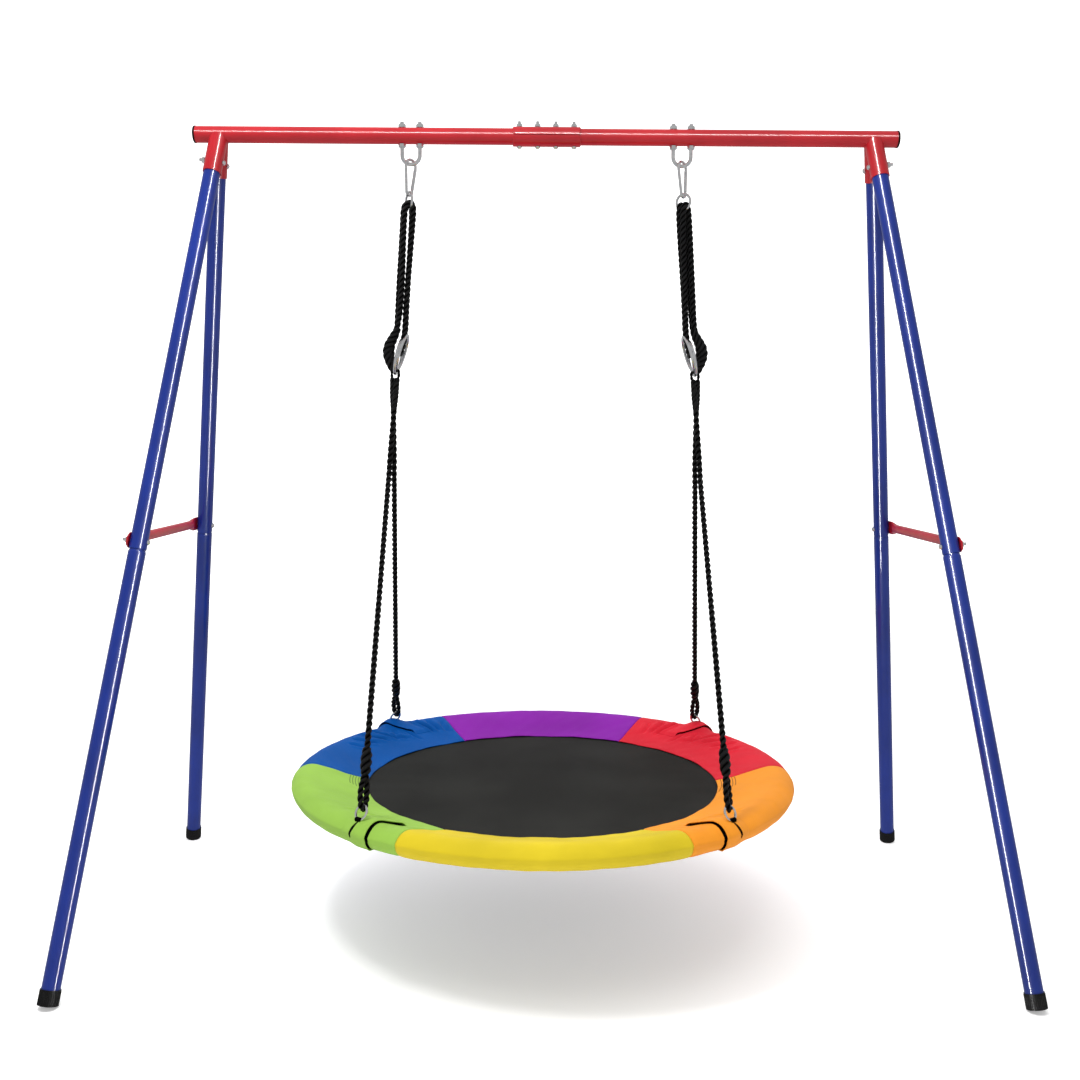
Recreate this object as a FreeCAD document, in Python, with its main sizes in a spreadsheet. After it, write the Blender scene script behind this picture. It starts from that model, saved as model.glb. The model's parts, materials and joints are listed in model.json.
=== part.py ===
import FreeCAD, Part
import Sketcher
import math
import os

Vector = FreeCAD.Vector
Placement = FreeCAD.Placement
Rotation = FreeCAD.Rotation

# Saucer swing on an A-frame stand, in millimetres.
# The origin is on the floor under the middle of the top beam, +X runs along the beam,
# +Y runs from the front legs to the back legs, and +Z is up.

DIMENSIONS = {
    # Stand
    "beam_height": 1575, "beam_half_length": 692, "beam_joint_gap": 0.5,
    "pipe_diameter": 32, "pipe_wall": 1.5,
    "leg_top_x": 646, "leg_foot_x": 853, "leg_foot_y": 432, "foot_lift": 5.2,
    "leg_start": 45, "leg_split": 838, "swage_length": 70, "swage_diameter": 28.6,
    "stub_length": 82, "stub_diameter": 36, "stub_bore": 32.4, "stub_bolt_at": 58,
    "brace_bolt_at": 823, "brace_diameter": 18.5, "flat_height": 29, "flat_thickness": 3.2,
    "cap_diameter": 35, "cap_length": 27, "cap_base": 3.5, "cap_rib": 1.1, "cap_rib_count": 36,
    "end_cap_diameter": 33.6, "end_cap_rim": 4, "end_cap_plug": 14,
    "shell_length": 134, "shell_diameter": 38, "shell_gap": 1.2, "shell_chamfer": 4,
    # Fasteners
    "bolt_diameter": 6, "bolt_hole": 6.4, "bolt_head": 10, "bolt_head_height": 4,
    "nut_height": 5.5, "thread_end": 5,
    "splice_bolt_inner": 18, "splice_bolt_outer": 54,
    # Hangers
    "hanger_x": 268, "hang_slope": 0.061, "eye_drop": 55, "eye_bend": 17.5,
    "eye_wire": 7.6, "eye_hole": 8, "eye_nut": 13, "eye_nut_height": 6.5, "eye_thread_end": 4,
    "hook_wire": 5.6, "hook_height": 74.6, "hook_wide": 13, "hook_narrow": 7.5, "hook_clearance": 2.2,
    "gate_diameter": 6.4, "gate_slot": 2.8, "tongue": 2.4, "pin_diameter": 1.6, "pin_hole": 1.7,
    "link_wire": 5, "link_radius": 15.5, "link_clearance": 1.1,
    "slider_wire": 5.4, "slider_radius": 35,
    "rope_diameter": 10, "strand_pitch": 10.7, "bundle_pitch": 12, "rope_split_height": 905,
    # Saucer
    "saucer_radius": 508, "rim_height": 287, "rim_cover": 23, "rim_cover_bore": 21.3,
    "foam_radius": 18.6, "steel_radius": 12.7, "steel_wall": 1.5, "steel_gap": 1,
    "mat_height": 276, "mat_thickness": 2.5, "mat_radius": 461,
    "flap_inner_radius": 358, "flap_thickness": 3,
    "strap_width": 38, "strap_thickness": 1.4, "strap_eye_width": 13,
    "ring_wire": 4.5, "ring_radius": 13, "strap_tilt": 22,
}
CORNERS = {"front_left": (-1, -1), "front_right": (1, -1), "back_left": (-1, 1), "back_right": (1, 1)}
SIDES = {"left": -1, "right": 1}
HOOK_TURN = {"left": 50, "right": 50}
LINK_TURN = {"left": -62, "right": -38}
STRAP_ANGLE = {"front_left": 229, "front_right": 312, "back_left": 135, "back_right": 42.5}

doc = FreeCAD.newDocument("saucer_swing")
sheet = doc.addObject("Spreadsheet::Sheet", "Dimensions")
for row, (alias, value) in enumerate(DIMENSIONS.items(), start=1):
    sheet.set("A%d" % row, alias)
    sheet.set("B%d" % row, str(value))
    sheet.setAlias("B%d" % row, alias)
doc.recompute()
parts = []


def size(alias):
    """A driving dimension, read from the sheet."""
    return float(sheet.get(alias))


def bind(feature, **expressions):
    """Tie a feature's properties to the sheet."""
    for name, text in expressions.items():
        feature.setExpression(name, text)


def keep(feature, label):
    """Mark a feature as a sub-part and name it."""
    feature.Label = label
    parts.append(feature)
    return feature


def own_shape(label, shape, placement=Placement()):
    """A sub-part whose shape is worked out in code."""
    feature = doc.addObject("Part::Feature", label)
    feature.Shape = shape
    feature.Placement = placement
    return keep(feature, label)


def cylinder(name, radius, height, placement):
    """A round bar with its radius and height tied to the sheet."""
    bar = doc.addObject("Part::Cylinder", name)
    bind(bar, Radius=radius, Height=height)
    bar.Placement = placement
    return bar


def cut(name, base, tools):
    """The base with every tool taken away from it."""
    if len(tools) > 1:
        tool = doc.addObject("Part::MultiFuse", name + "_tools")
        tool.Shapes = tools
    else:
        tool = tools[0]
    result = doc.addObject("Part::Cut", name)
    result.Base = base
    result.Tool = tool
    return result


def plane(body, role):
    """One of a body's own origin planes."""
    return [item for item in body.Origin.OriginFeatures if item.Role == role][0]


def circle_sketch(body, name, role, circles):
    """A sketch of circles: each is (x, y, expression of its diameter)."""
    sketch = body.newObject("Sketcher::SketchObject", name)
    sketch.AttachmentSupport = [(plane(body, role), "")]
    sketch.MapMode = "FlatFace"
    for x, y, diameter in circles:
        index = sketch.addGeometry(Part.Circle(Vector(x, y, 0), Vector(0, 0, 1), 1), False)
        constraint = sketch.addConstraint(_diameter(index))
        sketch.setExpression("Constraints[%d]" % constraint, diameter)
    return sketch


def _diameter(index):
    return Sketcher.Constraint("Diameter", index, 2.0)


def pad(body, name, sketch, length):
    feature = body.newObject("PartDesign::Pad", name)
    feature.Profile = sketch
    bind(feature, Length=length)
    return feature


# ---------------------------------------------------------------- directions

beam_height = size("beam_height")
leg_fall = beam_height
lean_x = size("leg_foot_x") - size("leg_top_x")
lean_y = size("leg_foot_y")
leg_run = math.sqrt(lean_x ** 2 + lean_y ** 2 + leg_fall ** 2)
leg_side_angle = math.atan2(lean_x, leg_fall)


def leg_axis(side, depth):
    """Unit vector down a leg."""
    return Vector(side * lean_x, depth * lean_y, -leg_fall) * (1 / leg_run)


def bolt_axis(side):
    """Unit vector of the bolts through a side's legs, square to both legs, pointing outwards."""
    return Vector(side * math.cos(leg_side_angle), 0, math.sin(leg_side_angle))


def leg_point(side, depth, along):
    """A point on a leg's axis, so far down from the beam's axis."""
    return Vector(side * size("leg_top_x"), 0, beam_height) + leg_axis(side, depth) * along


def leg_place(side, depth, along):
    """Local +Z down the leg, local +X along its bolts."""
    turn = Rotation(bolt_axis(side), Vector(0, 0, 0), leg_axis(side, depth), "ZXY")
    return Placement(leg_point(side, depth, along), turn)


def along_x(x, z):
    return Placement(Vector(x, 0, z), Rotation(Vector(0, 1, 0), 90))


# ---------------------------------------------------------------- fasteners

def hexagon(across, height):
    """A hexagonal prism standing on the origin."""
    corner = across / math.sqrt(3)
    points = [Vector(corner * math.cos(math.radians(60 * k)), corner * math.sin(math.radians(60 * k)), 0)
              for k in range(7)]
    prism = Part.Face(Part.makePolygon(points)).extrude(Vector(0, 0, height))
    crown = Part.makeCone(corner + height * 0.5, corner * 0.86, height)
    return prism.common(crown)


def bolt(grip, diameter, across, head_height, thread_end):
    """A hexagon bolt: head below the origin, shank up through the grip and past its nut."""
    head = Part.makeCylinder(across / 2, head_height * 0.5, Vector(0, 0, -head_height * 0.5))
    dome = Part.makeCone(across * 0.32, across / 2, head_height * 0.5, Vector(0, 0, -head_height))
    shank = Part.makeCylinder(diameter / 2, grip + thread_end)
    return head.fuse([dome, shank]).removeSplitter()


def nut(diameter, across, height):
    """A nut on the origin with its bore clear of the shank."""
    return hexagon(across, height).cut(Part.makeCylinder(diameter / 2 + 0.05, height))


def placed(shape, start, direction):
    copy = shape.copy()
    copy.Placement = Placement(start, Rotation(Vector(0, 0, 1), direction))
    return copy


# ---------------------------------------------------------------- stand

def beam_tube(name, side):
    """Half of the top beam, drilled for the splice bolts and the eye bolt."""
    length = "Dimensions.beam_half_length - Dimensions.beam_joint_gap"
    inner_x = size("beam_joint_gap") / 2 if side > 0 else -size("beam_half_length") + size("beam_joint_gap") / 2
    start = along_x(inner_x, beam_height)
    outer = cylinder(name + "_outer", "Dimensions.pipe_diameter / 2", length, start)
    bore = cylinder(name + "_bore", "Dimensions.pipe_diameter / 2 - Dimensions.pipe_wall", length, start)
    tools = [bore]
    drill_from = beam_height - size("pipe_diameter")
    for number, x in enumerate((size("splice_bolt_inner"), size("splice_bolt_outer"))):
        hole = cylinder("%s_splice_hole_%d" % (name, number), "Dimensions.bolt_hole / 2",
                        "2 * Dimensions.pipe_diameter", Placement(Vector(side * x, 0, drill_from), Rotation()))
        tools.append(hole)
    for number, shift in enumerate((-1, 1)):
        x = side * size("hanger_x") + shift * size("eye_bend")
        hole = cylinder("%s_eye_hole_%d" % (name, number), "Dimensions.eye_hole / 2",
                        "2 * Dimensions.pipe_diameter", Placement(Vector(x, 0, drill_from), Rotation()))
        tools.append(hole)
    keep(cut(name, outer, tools), name)


def beam_end_cap(name, side):
    """A plastic plug with a thin rim that shows at the beam's end."""
    body = doc.addObject("PartDesign::Body", name)
    plug = circle_sketch(body, name + "_plug", "XY_Plane",
                         [(0, 0, "Dimensions.pipe_diameter - 2 * Dimensions.pipe_wall - 0.2")])
    pad(body, name + "_plug_pad", plug, "Dimensions.end_cap_plug")
    rim = circle_sketch(body, name + "_rim", "XY_Plane", [(0, 0, "Dimensions.end_cap_diameter")])
    rim_pad = pad(body, name + "_rim_pad", rim, "Dimensions.end_cap_rim")
    rim_pad.Reversed = True
    doc.recompute()
    edge = body.newObject("PartDesign::Fillet", name + "_round")
    edge.Base = (rim_pad, [_outer_edge(rim_pad.Shape)])
    edge.Radius = 2.2
    body.Tip = edge
    turn = Rotation(Vector(0, 1, 0), -90 * side)
    body.Placement = Placement(Vector(side * size("beam_half_length"), 0, beam_height), turn)
    keep(body, name)


def _outer_edge(shape):
    """The name of the round edge with the lowest centre."""
    rounds = [(edge.BoundBox.ZMin, index) for index, edge in enumerate(shape.Edges, start=1)
              if isinstance(edge.Curve, Part.Circle) and edge.Closed]
    return "Edge%d" % min(rounds)[1]


def splice_shell(name, up):
    """One half-round shell of the clamp over the beam's joint, with its corners taken off."""
    length = size("shell_length")
    radius = size("shell_diameter") / 2
    gap = size("shell_gap") / 2
    chamfer = size("shell_chamfer")
    start = Vector(-length / 2, 0, beam_height)
    bar = Part.makeCylinder(radius, length, start, Vector(1, 0, 0))
    bar = bar.makeChamfer(1.2, [edge for edge in bar.Edges if isinstance(edge.Curve, Part.Circle)])
    bore = Part.makeCylinder(size("pipe_diameter") / 2 + 0.1, length, start, Vector(1, 0, 0))
    low = beam_height - 2 * radius if up > 0 else beam_height - gap
    other_half = Part.makeBox(length, 4 * radius, 2 * radius + gap, Vector(-length / 2, -2 * radius, low))
    shape = bar.cut(bore).cut(other_half)
    for end in (-1, 1):
        for depth in (-1, 1):
            corner = Part.makeBox(2 * chamfer, 3 * chamfer, 2 * chamfer, Vector(-chamfer, -1.5 * chamfer, -chamfer))
            corner.Placement = Placement(Vector(end * (length / 2 + 0.3), depth * radius, beam_height + up * gap),
                                         Rotation(Vector(0, 1, 0), 45))
            shape = shape.cut(corner)
    for x in splice_bolt_places():
        shape = shape.cut(Part.makeCylinder(size("bolt_hole") / 2, 4 * radius,
                                            Vector(x, 0, beam_height - 2 * radius)))
    own_shape(name, shape)


def splice_bolt_places():
    return [side * size(name) for side in (-1, 1) for name in ("splice_bolt_inner", "splice_bolt_outer")]


def splice_fasteners():
    """Bolts from below through both shells and the beam, with nuts on top."""
    radius = size("shell_diameter") / 2
    one = bolt(2 * radius + size("nut_height"), size("bolt_diameter"), size("bolt_head"),
               size("bolt_head_height"), size("thread_end"))
    cap = nut(size("bolt_diameter"), size("bolt_head"), size("nut_height"))
    ups = [(Vector(x, 0, beam_height - radius), Vector(x, 0, beam_height + radius))
           for x in splice_bolt_places()]
    own_shape("splice_bolts", Part.makeCompound([placed(one, low, Vector(0, 0, 1)) for low, high in ups]))
    own_shape("splice_nuts", Part.makeCompound([placed(cap, high, Vector(0, 0, 1)) for low, high in ups]))


def half_space(name, depth, clearance):
    """A block over the far side of the middle plane, which mitres a front or back piece."""
    block = doc.addObject("Part::Box", name)
    bind(block, Length="6 * Dimensions.stub_diameter", Width="4 * Dimensions.stub_diameter",
         Height="8 * Dimensions.stub_diameter")
    width = 4 * size("stub_diameter")
    y = -clearance if depth < 0 else clearance - width
    return block, y


def leg_socket(name, side, depth):
    """A stub under the beam that takes a leg's upper end, mitred against the other stub."""
    start = leg_place(side, depth, 0)
    outer = cylinder(name + "_outer", "Dimensions.stub_diameter / 2", "Dimensions.stub_length", start)
    bore = cylinder(name + "_bore", "Dimensions.stub_bore / 2", "Dimensions.stub_length", start)
    beam = cylinder(name + "_beam", "Dimensions.pipe_diameter / 2 + 0.05", "8 * Dimensions.pipe_diameter",
                    along_x(side * size("leg_top_x") - 4 * size("pipe_diameter"), beam_height))
    block, y = half_space(name + "_far_side", depth, 0)
    block.Placement = Placement(Vector(side * size("leg_top_x") - 3 * size("stub_diameter"), y,
                                       beam_height - 4 * size("stub_diameter")), Rotation())
    above, y_above = half_space(name + "_above", depth, 0)
    above.Placement = Placement(Vector(side * size("leg_top_x") - 3 * size("stub_diameter"),
                                       -2 * size("stub_diameter"), beam_height), Rotation())
    drill = cylinder(name + "_drill", "Dimensions.bolt_hole / 2", "2 * Dimensions.stub_diameter",
                     across_leg(side, depth, size("stub_bolt_at"), -size("stub_diameter")))
    keep(cut(name, outer, [bore, beam, block, above, drill]), name)


def across_leg(side, depth, along, start):
    """A place on a leg's bolt axis: local +Z points outwards along the bolt."""
    out = bolt_axis(side)
    return Placement(leg_point(side, depth, along) + out * start, Rotation(Vector(0, 0, 1), out))


def upper_leg(name, side, depth):
    """The upper tube of a leg, mitred inside its socket and drilled for two bolts."""
    start = leg_place(side, depth, size("leg_start"))
    length = "Dimensions.leg_split - Dimensions.leg_start"
    outer = cylinder(name + "_outer", "Dimensions.pipe_diameter / 2", length, start)
    bore = cylinder(name + "_bore", "Dimensions.pipe_diameter / 2 - Dimensions.pipe_wall", length, start)
    block, y = half_space(name + "_far_side", depth, 0.3)
    block.Placement = Placement(Vector(side * size("leg_top_x") - 3 * size("stub_diameter"), y,
                                       beam_height - 6 * size("stub_diameter")), Rotation())
    drills = [cylinder("%s_drill_%d" % (name, number), "Dimensions.bolt_hole / 2",
                       "2 * Dimensions.stub_diameter",
                       across_leg(side, depth, size(along), -size("stub_diameter")))
              for number, along in enumerate(("stub_bolt_at", "brace_bolt_at"))]
    keep(cut(name, outer, [bore, block] + drills), name)


def foot_along():
    """How far down its axis a leg's cap reaches."""
    return (beam_height - size("foot_lift")) / leg_fall * leg_run


def lower_leg(name, side, depth):
    """The lower tube of a leg: its swaged top slips into the upper tube."""
    split = size("leg_split")
    radius = size("pipe_diameter") / 2
    neck = size("swage_diameter") / 2
    wall = size("pipe_wall")
    neck_length = size("swage_length")
    cone = 5
    full_start = neck_length + 0.6
    full_length = foot_along() - size("cap_base") - split - 0.6
    outer = Part.makeCylinder(neck, full_start)
    outer = outer.fuse([Part.makeCylinder(radius, full_length - cone, Vector(0, 0, full_start + cone)),
                        Part.makeCone(neck, radius, cone, Vector(0, 0, full_start))])
    bore = Part.makeCylinder(neck - wall, full_start + cone + full_length)
    wide = Part.makeCylinder(radius - wall, full_length, Vector(0, 0, full_start + 2 * cone))
    shape = outer.cut(bore).cut(wide)
    hole_at = size("brace_bolt_at") - (split - neck_length)
    shape = shape.cut(Part.makeCylinder(size("bolt_hole") / 2, 4 * radius, Vector(-2 * radius, 0, hole_at),
                                        Vector(1, 0, 0)))
    own_shape(name, shape.removeSplitter(), leg_place(side, depth, split - neck_length))


def foot_cap(name, side, depth):
    """A ribbed cup over a leg's lower end."""
    body = doc.addObject("PartDesign::Body", name)
    disc = circle_sketch(body, name + "_disc", "XY_Plane", [(0, 0, "Dimensions.cap_diameter")])
    base = pad(body, name + "_base", disc, "Dimensions.cap_base")
    wall = circle_sketch(body, name + "_wall", "XY_Plane",
                         [(0, 0, "Dimensions.cap_diameter"), (0, 0, "Dimensions.pipe_diameter + 0.1")])
    sleeve = pad(body, name + "_sleeve", wall, "Dimensions.cap_length")
    rib = circle_sketch(body, name + "_rib", "XY_Plane",
                        [(size("cap_diameter") / 2, 0, "Dimensions.cap_rib")])
    rib_pad = pad(body, name + "_rib_pad", rib, "Dimensions.cap_length - 2")
    doc.recompute()
    ribs = body.newObject("PartDesign::PolarPattern", name + "_ribs")
    ribs.Originals = [rib_pad]
    ribs.Axis = ([item for item in body.Origin.OriginFeatures if item.Role == "Z_Axis"][0], [""])
    ribs.Angle = 360
    bind(ribs, Occurrences="Dimensions.cap_rib_count")
    body.Tip = ribs
    turn = leg_place(side, depth, 0).Rotation.multiply(Rotation(Vector(1, 0, 0), 180))
    body.Placement = Placement(leg_point(side, depth, foot_along()), turn)
    keep(body, name)


def brace_offset():
    """How far the brace's flat ends stand out from the leg's axis."""
    return size("pipe_diameter") / 2 + size("flat_thickness") / 2 + 0.1


def brace(name, side):
    """A tube from front leg to back leg, pressed flat at its bolted ends."""
    half_span = size("brace_bolt_at") * lean_y / leg_run
    round_half = half_span - 58
    flat_start = half_span - 22
    flat_end = half_span + 15
    radius = size("brace_diameter") / 2
    thick = size("flat_thickness") / 2
    tall = size("flat_height") / 2
    shape = Part.makeCylinder(radius, 2 * round_half, Vector(0, -round_half, 0), Vector(0, 1, 0))
    for end in (-1, 1):
        sections = [_oval(radius, radius, end * (round_half - 1)),
                    _oval(thick + 3, tall - 2.5, end * (round_half + 18)),
                    _oval(thick, tall, end * (flat_start + 1))]
        neck = Part.makeLoft(sections, True, True)
        plate = Part.makeBox(2 * thick, flat_end - flat_start, 2 * tall,
                             Vector(-thick, min(end * flat_start, end * flat_end), -tall))
        corners = [edge for edge in plate.Edges
                   if abs(edge.Vertexes[0].Y - end * flat_end) < 0.01
                   and abs(edge.Vertexes[1].Y - end * flat_end) < 0.01 and edge.Length < 3 * thick]
        plate = plate.makeFillet(9, corners)
        hole = Part.makeCylinder(size("bolt_hole") / 2, 20, Vector(-10, end * half_span, 0), Vector(1, 0, 0))
        shape = shape.fuse([neck, plate]).cut(hole)
    middle = (leg_point(side, -1, size("brace_bolt_at")) + leg_point(side, 1, size("brace_bolt_at"))) * 0.5
    place = Placement(middle + bolt_axis(side) * brace_offset(),
                      Rotation(Vector(0, 1, 0), -side * math.degrees(leg_side_angle)))
    own_shape(name, shape, place)


def _oval(half_x, half_z, y):
    """A many-sided outline across the brace: round where it is as wide as tall, else nearly flat."""
    power = 1.0 if half_x == half_z else 0.5
    sides = 24
    points = []
    for k in range(sides):
        turn = 2 * math.pi * (k + 0.5) / sides
        across = math.copysign(abs(math.cos(turn)) ** power, math.cos(turn)) * half_x
        up = math.copysign(abs(math.sin(turn)) ** power, math.sin(turn)) * half_z
        points.append(Vector(across, y, up))
    return Part.makePolygon(points + [points[0]])


def leg_fasteners():
    """Bolts across the sockets and across the legs at the braces."""
    sets = {
        "socket": ("stub_bolt_at", size("stub_diameter") / 2 + 0.1, size("stub_diameter") / 2 + 0.1),
        "brace": ("brace_bolt_at", size("pipe_diameter") / 2 + 0.1,
                  brace_offset() + size("flat_thickness") / 2 + 0.1),
    }
    for kind, (along, inside, outside) in sets.items():
        one = bolt(inside + outside + size("nut_height"), size("bolt_diameter"), size("bolt_head"),
                   size("bolt_head_height"), size("thread_end"))
        lock = nut(size("bolt_diameter"), size("bolt_head"), size("nut_height"))
        bolts = []
        nuts = []
        for side, depth in CORNERS.values():
            out = bolt_axis(side)
            centre = leg_point(side, depth, size(along))
            bolts.append(placed(one, centre - out * inside, out))
            nuts.append(placed(lock, centre + out * outside, out))
        own_shape(kind + "_bolts", Part.makeCompound(bolts))
        own_shape(kind + "_nuts", Part.makeCompound(nuts))


# ---------------------------------------------------------------- hangers

def hang(side, z):
    """A point on a side's hanging line, which leans outwards as it falls."""
    eye_z = beam_height - size("eye_drop")
    return Vector(side * (size("hanger_x") + size("hang_slope") * (eye_z - z)), 0, z)


def sweep(edges, diameter):
    """A round wire or rope along a path of lines and arcs."""
    path = Part.Wire(Part.__sortEdges__(edges))
    start = path.OrderedEdges[0]
    first = start.ParameterRange[0]
    heading = start.tangentAt(first)
    point = start.valueAt(first)
    ring = Part.Wire([Part.makeCircle(diameter / 2, point, heading)])
    return path.makePipeShell([ring], True, False)


def line(a, b):
    return Part.LineSegment(a, b).toShape()


def arc(a, middle, b):
    return Part.Arc(a, middle, b).toShape()


def round_route(points, diameter, label, radii=None):
    """Straight runs joined by tangent arcs; each arc is as large as its runs allow, or given."""
    radii = radii or {}
    edges = []
    start = points[0]
    used = []
    for k in range(1, len(points) - 1):
        before = points[k - 1] - points[k]
        after = points[k + 1] - points[k]
        half_turn = (math.pi - before.getAngle(after)) / 2
        run = min(before.Length, after.Length)
        radius = radii.get(k, 0.45 * run / math.tan(half_turn))
        back = radius * math.tan(half_turn)
        u = Vector(before).normalize()
        v = Vector(after).normalize()
        enter = points[k] + u * back
        leave = points[k] + v * back
        bisect = (u + v).normalize()
        middle = points[k] + bisect * (radius / math.cos(half_turn) - radius)
        if (enter - start).Length > 1e-6:
            edges.append(line(start, enter))
        edges.append(arc(enter, middle, leave))
        start = leave
        used.append(round(radius, 1))
    edges.append(line(start, points[-1]))
    shape = sweep(edges, diameter)
    length = sum(edge.Length for edge in edges)
    ratio = shape.Volume / (length * math.pi * diameter ** 2 / 4)
    print("%s: length %.1f, volume ratio %.4f, radii %s" % (label, length, ratio, used))
    return shape


def eye_bolt(name, side):
    """A U of round bar: both legs go up through the beam."""
    x = side * size("hanger_x")
    bend = size("eye_bend")
    low = beam_height - size("eye_drop") + bend
    top = beam_height + size("pipe_diameter") / 2 + size("eye_nut_height") + size("eye_thread_end")
    left = Vector(x - bend, 0, low)
    right = Vector(x + bend, 0, low)
    edges = [line(Vector(x - bend, 0, top), left), arc(left, Vector(x, 0, low - bend), right),
             line(right, Vector(x + bend, 0, top))]
    own_shape(name, sweep(edges, size("eye_wire")))


def eye_nuts():
    """Nuts on top of the beam and lock nuts under it, on every leg of the eye bolts."""
    one = nut(size("eye_wire"), size("eye_nut"), size("eye_nut_height"))
    radius = size("pipe_diameter") / 2
    places = [side * size("hanger_x") + shift * size("eye_bend") for side in (-1, 1) for shift in (-1, 1)]
    tops = [placed(one, Vector(x, 0, beam_height + radius), Vector(0, 0, 1)) for x in places]
    unders = [placed(one, Vector(x, 0, beam_height - radius), Vector(0, 0, -1)) for x in places]
    own_shape("eye_bolt_top_nuts", Part.makeCompound(tops))
    own_shape("eye_bolt_lock_nuts", Part.makeCompound(unders))


def hook_place(side, name):
    """The hook's own frame: local X across the hook, local Z up, origin at its top bend."""
    eye_z = beam_height - size("eye_drop")
    top = Vector(side * size("hanger_x"), 0, eye_z + size("eye_wire") / 2 + size("hook_wire") / 2 + size("hook_clearance"))
    lean = Rotation(Vector(0, 1, 0), -side * math.degrees(math.atan(size("hang_slope"))))
    return Placement(top, lean.multiply(Rotation(Vector(0, 0, 1), HOOK_TURN[name])))


def hook_sizes():
    wire = size("hook_wire")
    height = size("hook_height") - wire
    wide = size("hook_wide")
    narrow = size("hook_narrow")
    return wire, height, wide, narrow


def hook(name, side, label):
    """A snap hook's bent wire: wide bend on top, narrow bend below, open on its gate side."""
    wire, height, wide, narrow = hook_sizes()
    top = Vector(0, 0, -wide)
    low = Vector(0, 0, -height + narrow)
    lean = math.asin((wide - narrow) / (top.z - low.z))
    spine_way = Vector(-math.cos(lean), 0, -math.sin(lean))
    nose = Vector(wide, 0, top.z - 3)
    edges = [line(nose, Vector(wide, 0, top.z)),
             arc(Vector(wide, 0, top.z), Vector(0, 0, 0), top + spine_way * wide),
             line(top + spine_way * wide, low + spine_way * narrow),
             arc(low + spine_way * narrow, Vector(0, 0, -height), Vector(narrow, 0, low.z))]
    bar = sweep(edges, wire)
    heel_end = Part.makeCylinder(wire / 2, 3, Vector(narrow, 0, low.z))
    tongue = size("tongue")
    low_tongue = Part.makeBox(wire - 1.6, tongue, 8.4, Vector(narrow - wire / 2 + 0.8, -tongue / 2, low.z))
    high_tongue = Part.makeBox(wire / 2 + 0.6, tongue, 8, Vector(wide - 0.6, -tongue / 2, nose.z - 5))
    pin_hole = Part.makeCylinder(size("pin_hole") / 2, wire, Vector(narrow, wire / 2, low.z + 6),
                                 Vector(0, -1, 0))
    shape = bar.fuse([heel_end, low_tongue, high_tongue]).cut(pin_hole)
    own_shape(name, shape.removeSplitter(), hook_place(side, label))


def gate(name, pins_name, side, label):
    """The hook's sprung gate, forked at both ends, with its hinge pin and latch pin."""
    wire, height, wide, narrow = hook_sizes()
    pivot = Vector(narrow, 0, -height + narrow + 6)
    tip = Vector(wide - 0.2, 0, -wide - 3.6)
    axis = tip - pivot
    length = axis.Length
    radius = size("gate_diameter") / 2
    slot = size("gate_slot")
    body = Part.makeCylinder(radius, length + 2.4, Vector(0, 0, -2.4))
    low_slot = Part.makeBox(3 * radius, slot, 8.6, Vector(-1.5 * radius, -slot / 2, -2.4))
    high_slot = Part.makeBox(3 * radius, slot, 8, Vector(-1.5 * radius, -slot / 2, length - 6.5))
    pin_radius = size("pin_diameter") / 2
    hinge_pin = Part.makeCylinder(pin_radius, 2 * radius - 0.4, Vector(0, -radius + 0.2, 0), Vector(0, 1, 0))
    latch_pin = Part.makeCylinder(pin_radius, 2 * radius - 2.4, Vector(-1.9, -radius + 1.2, length - 3),
                                  Vector(0, 1, 0))
    fork = body.cut(low_slot).cut(high_slot).cut(hinge_pin).cut(latch_pin)
    turn = Rotation(Vector(0, 0, 1), axis)
    local = Placement(pivot, turn)
    place = hook_place(side, label).multiply(local)
    own_shape(name, fork, place)
    own_shape(pins_name, Part.makeCompound([hinge_pin, latch_pin]), place)
    world = hook_place(side, label)
    print(name, "pivot", world.multVec(pivot), "axis", world.Rotation.multVec(Vector(0, 1, 0)))


def torus_ring(radius, wire, centre, normal):
    return Part.makeTorus(radius, wire / 2, centre, normal)


def link_centre(side):
    """Centre of the small round link under a hook."""
    hook_top = beam_height - size("eye_drop") + size("eye_wire") / 2 + size("hook_wire") + size("hook_clearance")
    hook_seat = hook_top - size("hook_height") + size("hook_wire")
    z = hook_seat + size("link_wire") / 2 + size("link_clearance") - size("link_radius")
    return hang(side, z)


def round_link(name, side, label):
    """The welded round link between hook and rope."""
    turn = math.radians(LINK_TURN[label])
    normal = Vector(-math.sin(turn), math.cos(turn), 0)
    own_shape(name, torus_ring(size("link_radius"), size("link_wire"), link_centre(side), normal))


def slider_centre(side):
    """Centre of the outer one of the two adjuster rings."""
    return hang(side, 1143) + Vector(side * 3, 0, 0)


def slider_rings(name, side):
    """Two large rings, side by side, that the rope is doubled through to set its length."""
    outer_normal = Vector(side * math.cos(math.radians(12)), 0.03, math.sin(math.radians(12)))
    inner_normal = Vector(side * math.cos(math.radians(17)), 0.03, math.sin(math.radians(17)))
    outer = torus_ring(size("slider_radius"), size("slider_wire"), slider_centre(side), outer_normal)
    inner_centre = slider_centre(side) + Vector(-side * 7.5, 0, 9)
    inner = torus_ring(size("slider_radius"), size("slider_wire"), inner_centre, inner_normal)
    own_shape(name, Part.makeCompound([outer, inner]))


def strand_basis(side, label, share):
    """Horizontal unit vectors of the four-part rope: along the pair, and from leg to leg outwards.

    The rope turns a little on its way down: share is 0 at the link and 1 at the adjuster.
    """
    at_link = LINK_TURN[label] + 180
    turn = math.radians(at_link + (90 - at_link) * share)
    pair = Vector(math.cos(turn), math.sin(turn), 0)
    return pair, Vector(side * math.sin(turn), -side * math.cos(turn), 0)


def strand_point(side, label, strand, z, share, out):
    """A point on one strand at a height, so far outwards from the hanging line."""
    pair, outwards = strand_basis(side, label, share)
    return hang(side, z) + pair * (strand * size("strand_pitch") / 2) + outwards * out


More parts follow.
